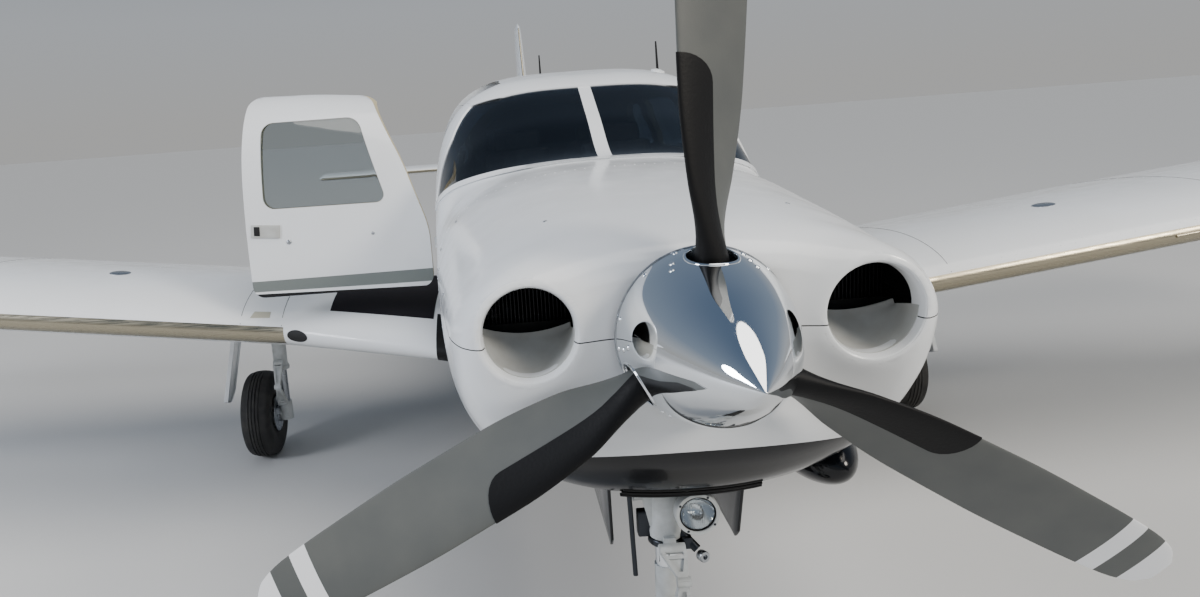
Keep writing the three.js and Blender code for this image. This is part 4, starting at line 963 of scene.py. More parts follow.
for name, low, high in (("left", POST_HALF, 1), ("right", -1, -POST_HALF)):
    half = trimmed(twin(windscreen, f"windscreen_{name}_pane"), block("half", at(low, 0, 0), at(high, 6, 3), tinted))
    fitted(smooth(half, 40), "glass", f"windscreen_{name}")
discard(windscreen)
post = cut(twin(outside, "windscreen_post_painted"), cabin_form(0.028, white, 0.05))
trimmed(post, screen_hole, block("middle", at(-POST_HALF, 0, 0), at(POST_HALF, 6, 3)))
painted(post, 40, "windscreen_post")

# %% Windows and doors
windows = (("left", "front", DOOR_WINDOW), ("left", "middle", MIDDLE_WINDOW), ("left", "rear", REAR_WINDOW),
    ("right", "middle", MIDDLE_WINDOW), ("right", "rear", REAR_WINDOW))
for side, place, outline in windows:
    window = trimmed(twin(pane, f"{side}_{place}_window_pane"), opening(outline, side, material=side_tinted))
    window.data.materials[0] = side_tinted
    fitted(smooth(window, 40), "glass", f"{side}_{place}_window")
    cut(shell, opening(outline, side, PANEL_GAP))
door_glass = trimmed(twin(pane, "front_door_pane"), opening(DOOR_WINDOW, "right", material=side_tinted))
door_glass.data.materials[0] = side_tinted
door = trimmed(twin(shell, "front_door_skin"), opening(FRONT_DOOR, "right"))
cut(door, opening(DOOR_WINDOW, "right", PANEL_GAP))
cut(shell, opening(FRONT_DOOR, "right", DOOR_GAP, material=white))
baggage = trimmed(twin(shell, "baggage_door_skin"), opening(BAGGAGE_DOOR, "right", material=white))
cut(shell, opening(BAGGAGE_DOOR, "right", DOOR_GAP, material=white))
roof = trimmed(twin(shell, "cabin_roof_skin"), block("above", at(-2, 0, ROOF_SEAM + PANEL_GAP), at(2, 6, 3)))
cut(shell, block("above", at(-2, 0, ROOF_SEAM), at(2, 6, 3)))
left_side = trimmed(twin(shell, "left_cabin_side_skin"), block("half", at(0, 0, 0), at(2, 6, 3), cream))
right_side = trimmed(shell, block("half", at(-2, 0, 0), at(0, 6, 3), cream))
right_side.name = "right_cabin_side_skin"
for piece, node in ((deck, "forward_deck"), (roof, "cabin_roof"), (left_side, "left_cabin_side"),
        (right_side, "right_cabin_side")):
    painted(piece, 35, node)
deck.name = "forward_deck_skin"
painted(baggage, 35, "baggage_door", body="baggage_door")

hinge_place = at(*DOOR_HINGE, 0)
door_open = Matrix.Translation(hinge_place) @ Matrix.Rotation(radians(90), 4, "Z") @ Matrix.Translation(-hinge_place)
for slot_number, material in enumerate(door.data.materials):
    if material == livery:
        door.data.materials[slot_number] = door_livery


for piece, node, slot in ((door, "front_door", "white_paint"), (door_glass, "front_door_window", "glass")):
    piece.data.transform(door_open)
    fitted(smooth(piece), slot, node, body="front_door")
discard(outside, pane)

# %% [markdown]
# ## Wings
# A wing is an aerofoil section carried along the span, with a glove that brings the leading edge forward at the
# root. Its skin is laid on as one rolled grid per wing, and the flap, the aileron and the wheel well are cut from
# it, so every gap follows the wing. The first centimetre of the leading edge is bare rolled aluminium.

# %% Aerofoils
# Distance out, leading edge station, chord, height of the leading edge, thickness over chord
WING = [
    (0.4, 1.76, 1.94, 0.775, 0.103),
    (0.64, 1.85, 1.85, 0.799, 0.108),
    (1.275, 2.105, 1.595, 0.85, 0.15),
    (2.74, 2.12, 1.57, 1.03, 0.145),
    (5.15, 2.395, 1.09, 1.326, 0.125),
    (5.29, 2.425, 1.02, 1.343, 0.11),
    (5.365, 2.49, 0.88, 1.355, 0.08),
    (5.4, 2.6, 0.64, 1.365, 0.03),
]
TIP_START, GLOVE_END = 5.15, 1.275
INCIDENCE = tan(radians(2))
CHORD_STEPS = 40
METAL_EDGE, UNDER_EDGE = 0.0078, 4


def half_thickness(share, thickness):
    return 5 * thickness * (
        0.2969 * sqrt(share) - 0.126 * share - 0.3516 * share ** 2 + 0.2843 * share ** 3 - 0.1015 * share ** 4)


def camber_line(share, camber=0.02):
    """Height of the middle line: highest at 40% of the chord."""
    if share < 0.4:
        return camber / 0.16 * (0.8 * share - share ** 2)
    return camber / 0.36 * (0.2 + 0.8 * share - share ** 2)


def aerofoil(chord, thickness, camber=0.02, count=CHORD_STEPS):
    """Back and up from the leading edge: from the trailing edge over the top to the nose and back below."""
    shares = [(1 + cos(pi * i / count)) / 2 for i in range(count + 1)]
    upper = [(f * chord, (camber_line(f, camber) + half_thickness(f, thickness)) * chord) for f in shares]
    lower = [(f * chord, (camber_line(f, camber) - half_thickness(f, thickness)) * chord) for f in shares[-2::-1]]
    return [*upper, *lower]


def straight(rows, place):
    """Every column of the rows at a place, on straight lines between them."""
    k = next((i for i, row in enumerate(rows[1:]) if row[0] >= place), len(rows) - 2)
    share = (place - rows[k][0]) / (rows[k + 1][0] - rows[k][0])
    return [a + share * (b - a) for a, b in zip(rows[k], rows[k + 1])]


def wing_row(x):
    return between(WING[4:], x) if x > TIP_START else straight(WING, x)


def wing_ring(side, x):
    _, lead, chord, height, thickness = wing_row(x)
    return [at(side * x, lead + back, height + up - back * INCIDENCE) for back, up in aerofoil(chord, thickness)]


def wing_place(side, x, share, above=1):
    """A point on the wing's skin: share of the chord, above 1 for the top and -1 for the underside."""
    _, lead, chord, height, thickness = wing_row(x)
    up = camber_line(share) + above * half_thickness(share, thickness) - share * INCIDENCE
    return at(side * x, lead + share * chord, height + up * chord)


def edge_faces(piece, low, share, rows):
    """Gives the faces next to the leading edge the bare metal finish."""
    piece.data.materials.append(brushed)
    for face in piece.data.polygons:
        where = face.center
        row = rows(abs(where.x))
        reach = share * row[2] * (1 if face.normal.z > 0 else UNDER_EDGE)
        if abs(where.x) > low and where.y + MIDDLE - row[1] < reach:
            face.material_index = 1


print("half thickness of the wing at the wheel", round(half_thickness(0.3, 0.15) * 1.58, 3))

# %% Wings, flaps and ailerons
MAIN_S, LEG_X, WHEEL_X, TRUNNION_Z = 2.98, 1.532, 1.645, 0.815
WELL_X, WELL_RADIUS, WELL_TOP, SLOT_HALF, SLOT_END, SLOT_TOP = 0.96, 0.24, 0.806, 0.085, 1.64, 0.872
MOVING_RUN, END_GAP = 0.006, 0.014
# Name, inner end, outer end, hinge line as a part of the chord, ends of the straight hinge line
SURFACES = [
    ("flap", 0.645, 2.69, 0.78, (1.275, 2.74)),
    ("aileron", 2.74, 4.85, 0.79, (2.74, 4.85)),
]
span_places = sorted({*[row[0] for row in WING], *steps(0.4, TIP_START, 0.125),
    *[5.18, 5.21, 5.24, 5.265, 5.31, 5.33, 5.35, 5.378, 5.388, 5.395, 5.398]})


def hinge_end(x, part):
    """Centre and radius of a moving surface's nose."""
    _, lead, chord, height, thickness = straight(WING, x)
    z = height + camber_line(part) * chord - part * chord * INCIDENCE
    return x, lead + part * chord, z, half_thickness(part, thickness) * chord - 0.002


def hinge_at(part, ends, x):
    first, last = (hinge_end(end, part) for end in ends)
    share = (x - first[0]) / (last[0] - first[0])
    return [a + share * (b - a) for a, b in zip(first, last)]


fuselage_cutter = form("fuselage_cutter", -0.0006, 1.2, 4.6, 0.05)
for side, name in BOTH_SIDES:
    wing_form = rolled("wing_form", [wing_ring(side, x) for x in span_places], white)
    edge_faces(wing_form, GLOVE_END, METAL_EDGE, wing_row)
    cut(wing_form, fuselage_cutter, keep=True)
    wing = twin(wing_form, f"{name}_wing_skin")
    for surface, inner, outer, part, ends in SURFACES:
        def nose(low, high, more):
            (x1, s1, z1, r1), (x2, s2, z2, r2) = hinge_at(part, ends, low), hinge_at(part, ends, high)
            return bar("nose", at(side * x1, s1, z1), at(side * x2, s2, z2), r1 + more, white, r2 + more, 64)

        def behind(low, high):
            s1, s2 = hinge_at(part, ends, low)[1], hinge_at(part, ends, high)[1]
            outline = [(side * low, s1), (side * high, s2), (side * high, 4.2), (side * low, 4.2)]
            return prism("behind", outline, 0.3, 1.9, axis="Z")

        piece = trimmed(twin(wing_form, f"{name}_{surface}_skin"), behind(inner, outer))
        fused(piece, nose(inner, outer, 0))
        cut(wing, behind(inner - END_GAP, outer + END_GAP), nose(inner - END_GAP, outer + END_GAP, MOVING_RUN))
        painted(piece, 32, f"{name}_{surface}", body=f"{name}_{surface}")
    pocket = bar("pocket", at(side * WELL_X, MAIN_S, 0.4), at(side * WELL_X, MAIN_S, WELL_TOP), WELL_RADIUS, white,
        sides=96)
    low_x, high_x = sorted((side * WELL_X, side * SLOT_END))
    leg_slot = block("leg_slot", at(low_x, MAIN_S - SLOT_HALF, 0.4), at(high_x, MAIN_S + SLOT_HALF, SLOT_TOP))
    cut(wing, pocket, leg_slot)
    painted(wing, 32, f"{name}_wing")
    discard(wing_form)

# %% [markdown]
# ## Tail
# The tail cone narrows to the tailplane, which moves as one surface on a tube through it. Fin and rudder share
# one swept section. The same rolled grids make them, and the rudder is cut off along its slanted hinge line.

# %% Tail cone, fin, rudder and tailplane
TAIL_END, PIVOT_S, PIVOT_Z, TUBE_RADIUS = 7.3, 6.918, 1.19, 0.034
tail_cone = clad(form("tail_cone_skin", 0, BULKHEAD + 0.0123, TAIL_END, 0.06), livery)
fused(tail_cone, bar("tie_down", at(0, 6.65, 1.02), at(0, 6.65, 0.985), 0.014, steel))
painted(tail_cone, 35, "tail_cone")
fitted(frame_sheet("bulkhead", BULKHEAD, carpet), "panel", "rear_bulkhead")

# Height, leading edge station, trailing edge station, thickness over chord
FIN = [
    (1.285, 5.985, 7.425, 0.085),
    (1.42, 6.11, 7.434, 0.085),
    (2.37, 6.81, 7.508, 0.085),
    (2.44, 6.88, 7.514, 0.07),
    (2.475, 6.99, 7.52, 0.02),
]
# Height, station and radius of the rudder's nose
RUDDER_HINGE = [(1.345, 7.06, 0.031), (2.475, 7.215, 0.02)]
RUDDER_BOTTOM = 1.362


def fin_row(z):
    return between(FIN[2:], z) if z > FIN[2][0] else straight(FIN, z)


def fin_ring(z):
    _, lead, trail, thickness = fin_row(z)
    return [at(up, lead + back, z) for back, up in aerofoil(trail - lead, thickness, 0)]


fin_heights = [*steps(1.285, 1.42, 0.07), *steps(1.42, 2.37, 0.1)[1:], 2.39, 2.41, 2.425, 2.44, 2.452, 2.462, 2.47,
    2.475]
fin_form = rolled("fin_form", [fin_ring(z) for z in fin_heights], white)
fin_form.data.materials.append(brushed)
for face in fin_form.data.polygons:
    if face.center.y + MIDDLE - fin_row(face.center.z)[1] < 0.006 and face.center.z < 2.42:
        face.material_index = 1


def rudder_nose(low, high, more):
    (_, s1, r1), (_, s2, r2) = straight(RUDDER_HINGE, low), straight(RUDDER_HINGE, high)
    return bar("nose", at(0, s1, low), at(0, s2, high), r1 + more, white, r2 + more, 48)


def rudder_side():
    s1, s2 = straight(RUDDER_HINGE, 1.2)[1], straight(RUDDER_HINGE, 2.6)[1]
    return prism("side", [(s1, 1.2), (s2, 2.6), (7.9, 2.6), (7.9, 1.2)], -0.2, 0.2)


rudder = trimmed(twin(fin_form, "rudder_skin"), rudder_side())
fused(rudder, rudder_nose(RUDDER_BOTTOM, 2.44, 0))
trimmed(rudder, block("above", at(-1, 6, RUDDER_BOTTOM), at(1, 8, 3)))
tail_cutter = form("tail_cutter", -0.0006, 5, TAIL_END, 0.06)
fin = cut(fin_form, rudder_side(), rudder_nose(1.2, 2.6, MOVING_RUN))
cut(fin, tail_cutter, keep=True)
fin.name = "fin_skin"
painted(fin, 32, "fin")
painted(rudder, 32, "rudder", body="rudder")
discard(fuselage_cutter, tail_cutter)

PLANE_ROOT, PLANE_HALF, PLANE_LEAD, PLANE_CHORD = 0.165, 1.96, 6.69, 0.76
TAB_LINE, TAB_HALF = 7.335, 1.33


def tailplane_ring(x, sweep, thin):
    return [at(x, PLANE_LEAD + sweep + back, PIVOT_Z + up) for back,
        up in aerofoil(PLANE_CHORD - sweep, 0.1 * thin, 0)]


tailplane = bar("tailplane_skin", at(-PLANE_ROOT - 0.05, PIVOT_S, PIVOT_Z), at(PLANE_ROOT + 0.05, PIVOT_S, PIVOT_Z),
    TUBE_RADIUS, steel, sides=48)
tailplane.data.materials.append(white)
tab_space = block("tab_space", at(-TAB_HALF - 0.003, TAB_LINE - 0.003, 1.1), at(TAB_HALF + 0.003, 8, 1.3))
halves = []
for side in (-1, 1):
    # Distance out, sweep of the leading edge and share of the thickness
    out = [(PLANE_ROOT, 0, 1), (0.6, 0, 1), (1.2, 0, 1), *[(PLANE_HALF - inwards, sweep, thin) for inwards, sweep,
        thin in ((0.06, 0, 1), (0.03, 0.005, 0.9), (0.015, 0.014, 0.75), (0.006, 0.03, 0.5), (0, 0.06, 0.3))]]
    half = rolled("half", [tailplane_ring(side * x, sweep, thin) for x, sweep, thin in out], white)
    edge_faces(half, 0.1, METAL_EDGE, lambda x: (x, PLANE_LEAD, PLANE_CHORD))
    halves.append(cut(half, tab_space, keep=True))
discard(tab_space)
tailplane = together("tailplane_skin", [tailplane, *halves])
tab = trimmed(rolled("tailplane_tab_skin", [tailplane_ring(x, 0, 1) for x in steps(-TAB_HALF, TAB_HALF, 0.3)], white),
    block("aft", at(-2, TAB_LINE, 1), at(2, 8, 1.4)))
painted(tailplane, 32, "tailplane", body="tailplane")
painted(tab, 32, "tailplane_tab", body="tailplane")

# %% [markdown]
# ## Landing gear
# Each leg is an air-oil strut: a cast housing, a polished piston and a torque link that keeps the wheel straight.
# Castings have soft edges, so they are joined from turned and milled shapes and then bevelled. The tyres are
# turned from a section with their grooves drawn in it.

# %% Wheels and tyres
NOSE_X, NOSE_S, NOSE_AXLE, MAIN_AXLE = -0.036, 0.655, 0.178, 0.222


def tyre(name, place, radius, half_width, rim):
    """A tyre with four grooves round its tread, turned about its axle."""
    outline = [(rim, -half_width * 0.74), (rim + 0.012, -half_width * 0.82)]
    for k in range(1, 10):
        turn = radians(-78 + 8.2 * k)
        middle = (rim + radius) / 2 + 0.006
        outline.append((middle + (radius - 0.006 - middle) * sin(radians(90) * k / 9.6),
            -half_width * (cos(radians(90) * max(0, k - 2) / 8.4)) ** 0.45))
    flat = half_width * 0.4
    outline.append((radius - 0.004, -flat * 1.18))
    for groove in (-0.62, -0.21, 0.21, 0.62):
        centre = groove * flat * 1.35
        top = radius - 0.003 * (abs(centre) / flat) ** 2
        outline += [(top, centre - 0.0035), (top - 0.004, centre - 0.002), (top - 0.004, centre + 0.002),
            (top, centre + 0.0035)]
    outline += [(r, -a) for r, a in reversed(outline[:12])]
    return smooth(spun(name, outline, place, (1, 0, 0), tyre_rubber, steps=96), 45)


def rim_outline(half, bead, bore, dish):
    """Half of a wheel's section, and its mirror image."""
    near = [(bore, -dish), (bore + 0.012, -dish), (bore + 0.014, -dish + 0.012), (bead - 0.026, -half * 0.45),
        (bead - 0.012, -half * 0.62), (bead - 0.004, -half), (bead, -half)]
    return [*near, *[(r, -a) for r, a in reversed(near)]]


def drilled(piece, place, count, reach, radius, half):
    for turn in turns(count, 0.5):
        low, high = (place + Vector((x, reach * cos(turn), reach * sin(turn))) for x in (-half, half))
        cut(piece, bar("hole", low, high, radius, casting, sides=20))
    return piece


nose_place = at(NOSE_X, NOSE_S, NOSE_AXLE)
nose_tyre = tyre("nose_tyre_tread", nose_place, 0.178, 0.061, 0.0634)
nose_rim = spun("nose_rim", rim_outline(0.044, 0.0628, 0.0128, 0.06), nose_place, (1, 0, 0), casting)
fitted(nose_tyre, "tyre", "nose_tyre", body="nose_wheel")
fitted(softened(nose_rim, 0.0015), "steel", "nose_wheel", body="nose_wheel")
for side, name in BOTH_SIDES:
    place = at(side * WHEEL_X, MAIN_S, MAIN_AXLE)
    tread = tyre(f"{name}_tyre_tread", place, 0.222, 0.074, 0.0764)
    rim = spun(f"{name}_rim", rim_outline(0.055, 0.0758, 0.0208, 0.05), place, (1, 0, 0), casting)
    softened(drilled(rim, place, 8, 0.042, 0.007, 0.08), 0.0015)
    disc = spun(f"{name}_brake_disc", [(0.05, 0), (0.094, 0), (0.095, 0.001), (0.095, 0.005), (0.094, 0.006),
        (0.05, 0.006)], place - Vector((side * 0.0735 + (0.006 if side < 0 else 0), 0, 0)), (1, 0, 0), steel)
    fitted(tread, "tyre", f"{name}_main_tyre", body=f"{name}_wheel")
    fitted(rim, "steel", f"{name}_main_wheel", body=f"{name}_wheel")
    fitted(smooth(disc, 40), "steel", body=f"{name}_wheel")

# %% Nose leg
def on_leg(x, ahead, z):
    """A place from the nose leg's axis: to port, ahead and above the ground."""
    return at(NOSE_X + x, NOSE_S - ahead, z)


def leg_turned(name, outline, material):
    """A piece turned round the nose leg's axis: rows of radius and height."""
    return spun(name, outline, on_leg(0, 0, 0), (0, 0, 1), material, closed=outline[0][0] > 0)


housing = leg_turned("nose_leg_casting", [(0, 0.638), (0.036, 0.638), (0.04, 0.642), (0.0415, 0.656), (0.04, 0.664),
    (0.035, 0.674), (0.034, 0.79), (0.044, 0.83), (0.044, 0.9), (0.06, 0.9005), (0.06, 0.914), (0, 0.914)], casting)
ribs = [prism("rib", [(NOSE_X + side * out, z) for out, z in ((0.02, 0.668), (0.039, 0.668), (0.068, 0.8),
    (0.02, 0.8))], NOSE_S - 0.012, NOSE_S, casting, axis="Y") for side in (-1, 1)]
fused(housing, *ribs, bar("pin_boss", on_leg(-0.02, 0.05, 0.63), on_leg(0.024, 0.05, 0.63), 0.01, casting, sides=32),
    block("pin_web", on_leg(-0.014, 0.052, 0.63), on_leg(0.014, 0.03, 0.655), casting),
    bar("steering_boss", on_leg(-0.074, -0.012, 0.745), on_leg(0, -0.012, 0.745), 0.017, casting, sides=32))
softened(housing, 0.003, 3)
gland = leg_turned("nose_leg_gland", [(0.027, 0.622), (0.0395, 0.622), (0.0425, 0.625), (0.0425, 0.634),
    (0.0405, 0.6375), (0.027, 0.6375)], dark_steel)
piston = bar("nose_piston", on_leg(0, 0, 0.4), on_leg(0, 0, 0.63), 0.026, chrome, sides=48)
fork = block("nose_fork_casting", on_leg(-0.088, 0.036, 0.386), on_leg(0.088, -0.036, 0.42), casting)
for side in (-1, 1):
    arm = prism("arm", [(NOSE_S + back, z) for back, z in ((-0.034, 0.405), (0.034, 0.405), (0.024, 0.15),
        (-0.024, 0.15))], *sorted((NOSE_X + side * 0.073, NOSE_X + side * 0.088)), casting, corner=0.01)
    boss = bar("boss", on_leg(side * 0.07, 0, NOSE_AXLE), on_leg(side * 0.094, 0, NOSE_AXLE), 0.028, casting,
        sides=40)
    fused(fork, arm, boss)
fused(fork, bar("socket", on_leg(0, 0, 0.38), on_leg(0, 0, 0.44), 0.036, casting, sides=40),
    bar("tube", on_leg(0, 0, 0.4), on_leg(0, 0, 0.565), 0.029, casting, sides=40))
softened(fork, 0.006, 3)
axle = together("nose_axle", [bar(name, on_leg(low, 0, NOSE_AXLE), on_leg(high, 0, NOSE_AXLE), radius, steel,
    sides=sides) for name, low, high, radius, sides in (("axle", -0.102, 0.102, 0.012, 32),
    ("nut", -0.094, -0.104, 0.019, 6), ("nut", 0.094, 0.104, 0.019, 6))])


def link_arm(start, end, wide, narrow, material, thick=0.009):
    """One arm of a torque link: a forked plate, wide at its first pin and narrow at the apex."""
    way = end - start
    length = way.length
    plate = prism("arm", [(-wide, -0.01), (wide, -0.01), (wide, 0.014), (narrow, length - 0.01),
        (narrow, length + 0.01), (-narrow, length + 0.01), (-narrow, length - 0.01), (-wide, 0.014)], -thick, thick,
        material, axis="Z")
    hollow = [(-wide + 0.012, 0.026), (wide - 0.012, 0.026), (narrow * 0.4, length - 0.022),
        (-narrow * 0.4, length - 0.022)]
    cut(plate, *[prism("hollow", hollow, *ends, material, axis="Z") for ends in ((thick * 0.2, 0.03),
        (-0.03, -thick * 0.2))], block("slot", at(-wide + 0.009, -0.02, -0.03), at(wide - 0.009, 0.018, 0.03),
        material))
    side = Vector((1, 0, 0))
    turn = Matrix((side, way.normalized(), side.cross(way.normalized()))).transposed().to_4x4()
    plate.data.transform(Matrix.Translation(start) @ turn @ Matrix.Translation((0, MIDDLE, 0)))
    return fused(plate, *[bar("eye", place - side * half, place + side * half, 0.0125, material, sides=32) for place,
        half in ((start, wide), (end, narrow + 0.004))])


def torque_link(name, upper, apex, lower, wide, narrow, material):
    """Two forked arms that meet at a pin."""
    link = fused(link_arm(upper, apex, wide, narrow, material), link_arm(lower, apex, wide, narrow, material))
    link.name = name
    return softened(link, 0.0025)


nose_link = torque_link("nose_torque_link_casting", on_leg(0.004, 0.054, 0.63), on_leg(0.018, 0.104, 0.572),
    on_leg(0.018, 0.052, 0.408), 0.03, 0.012, casting)
for piece, *given in ((housing, "casting", "nose_leg"), (smooth(gland), "steel"), (piston, "chrome"),
        (fork, "casting", "nose_fork"), (softened(axle, 0.001), "steel"), (nose_link, "casting", "nose_torque_link")):
    fitted(piece, *given, body="nose_gear")

# The lamp: a reflector and a ribbed lens in a cast ring with four screws, on an arm from the leg
LAMP_X, LAMP_Z, LAMP_FRONT, LAMP_RADIUS = 0.018, 0.741, 0.545, 0.051


def lamp_turned(name, outline, material, closed=True):
    """A part of the lamp: rows of radius and distance behind its front."""
    return smooth(lathed(name, [(r, LAMP_FRONT + back) for r, back in outline], LAMP_X, LAMP_Z, material, closed), 40)


lamp_ring = lamp_turned("landing_light_ring", [(0.0415, 0.004), (0.0425, -0.002), (0.0495, -0.002), (LAMP_RADIUS, 0),
    (LAMP_RADIUS, 0.026), (0.046, 0.032), (0.03, 0.06), (0.028, 0.06), (0.0415, 0.03)], casting)
lamp_seal = lamp_turned("landing_light_seal", [(0.0392, 0.001), (0.0416, 0.001), (0.0416, 0.012), (0.0392, 0.012)],
    seal_rubber)
reflector = lamp_turned("landing_light_reflector", [(0, 0.046), (0.006, 0.0455), (0.019, 0.038), (0.031, 0.024),
    (0.0395, 0.008), (0.0405, 0.008), (0.033, 0.026), (0.02, 0.04), (0, 0.049)], mirror, closed=False)
lamp_glass = lamp_turned("landing_light_glass", [(0, -0.004), (0.015, -0.0035), (0.029, -0.0015), (0.0392, 0.002),
    (0.0392, 0.005), (0.029, 0.0015), (0, -0.0005)], lens, closed=False)
lamp_screws = [dome("screw", at(LAMP_X + 0.046 * cos(turn), LAMP_FRONT - 0.002, LAMP_Z + 0.046 * sin(turn)),
    (0, -1, 0), 0.0032, dark_steel) for turn in (radians(degrees) for degrees in (-120, -35, 60, 150))]
arm = block("lamp_arm", at(NOSE_X + 0.03, 0.59, LAMP_Z - 0.012), at(LAMP_X, 0.64, LAMP_Z + 0.012), casting)
lamp_holder = together("landing_light_holder", [lamp_ring, lamp_seal, softened(arm, 0.003), *lamp_screws])
fitted(lamp_holder, "casting", body="nose_gear")
fitted(reflector, "steel", body="nose_gear")
fitted(lamp_glass, "lens", "landing_light", body="nose_gear")

# The rod that locks the leg down, its arm, and the oiled steering damper with its eye
lock_parts = [bar("rod", at(-0.121, 0.66, 0.8), at(-0.115, 0.64, 0.545), 0.006, dark_steel, sides=16),
    softened(block("lock", at(-0.103, 0.645, 0.64), at(-0.07, 0.675, 0.704), dark_steel), 0.004),
    bar("damper", at(-0.02, 0.65, 0.668), at(0.03, 0.612, 0.618), 0.011, dark_steel),
    softened(block("damper_clamp", at(-0.004, 0.612, 0.618), at(0.02, 0.64, 0.648), dark_steel), 0.004),
    spun("damper_eye", [(0.006, -0.01), (0.012, -0.01), (0.0135, -0.008), (0.0135, 0.008), (0.012, 0.01),
    (0.006, 0.01)], at(0.04, 0.6, 0.606), (0.35, -1, 0.15), steel, steps=32)]
fitted(smooth(together("nose_lock_and_damper", lock_parts), 40), "steel", body="nose_gear")

ring = bar("nose_gear_mount_ring", on_leg(0, 0, 0.85), on_leg(0, 0, 0.9), 0.062, dark_steel, sides=64)
cut(ring, bar("hole", on_leg(0, 0, 0.84), on_leg(0, 0, 0.91), 0.047, dark_steel, sides=64))
for side in (-1, 1):
    tube = bar("tube", on_leg(side * 0.048, -0.022, 0.875), at(side * 0.185, FIREWALL - 0.0005, 0.904), 0.016,
        dark_steel)
    cut(tube, bar("hole", on_leg(0, 0, 0.84), on_leg(0, 0, 0.92), 0.047, dark_steel, sides=64))
    fused(ring, tube)
trimmed(ring, block("ahead", at(-1, 0, 0), at(1, FIREWALL - 0.0005, 2), dark_steel))
fitted(softened(ring, 0.003), "steel", "nose_gear_mount")

NOSE_DOOR = [(0.668, 0.82), (1.18, 0.745), (1.18, 0.64), (1.145, 0.594), (0.765, 0.58), (0.735, 0.577),
    (0.711, 0.602)]
skin_cutter = form("skin_cutter", -0.0006, COWL_FRONT, FIREWALL)
for side, name in BOTH_SIDES:
    door_panel = softened(prism(f"{name}_nose_door_panel", NOSE_DOOR, -0.004, 0.004, navy_paint), 0.002)
    for vertex in door_panel.data.vertices:
        vertex.co.x += side * (WELL_HALF + 0.008 + (vertex.co.z - 0.6) * 0.04)
    cut(door_panel, skin_cutter, keep=True)
    fitted(smooth(door_panel, 30), "floor", f"{name}_nose_door")
discard(skin_cutter)


def well_seal(station, drop, thick):
    """A rubber seal across the wheel well's front, along the cowl's underside."""
    under = [p for p in section(station, -drop, 256) if p.z < 0.95 and abs(p.x) < WELL_HALF + 0.012]
    under.sort(key=lambda p: p.x)
    lip = ((0, 0), (0.01, 0), (0.01, -thick), (0.003, -thick), (0, -thick * 0.5))
    rows = [[p + Vector((0, a, b)) for a, b in lip] for p in under]
    return rolled("seal", rows, seal_rubber)


seals = [well_seal(station, drop, 0.006) for station, drop in ((0.506, -0.002), (0.516, 0.003), (0.526, 0.008))]
fitted(smooth(together("nose_well_seals", seals)), "floor")

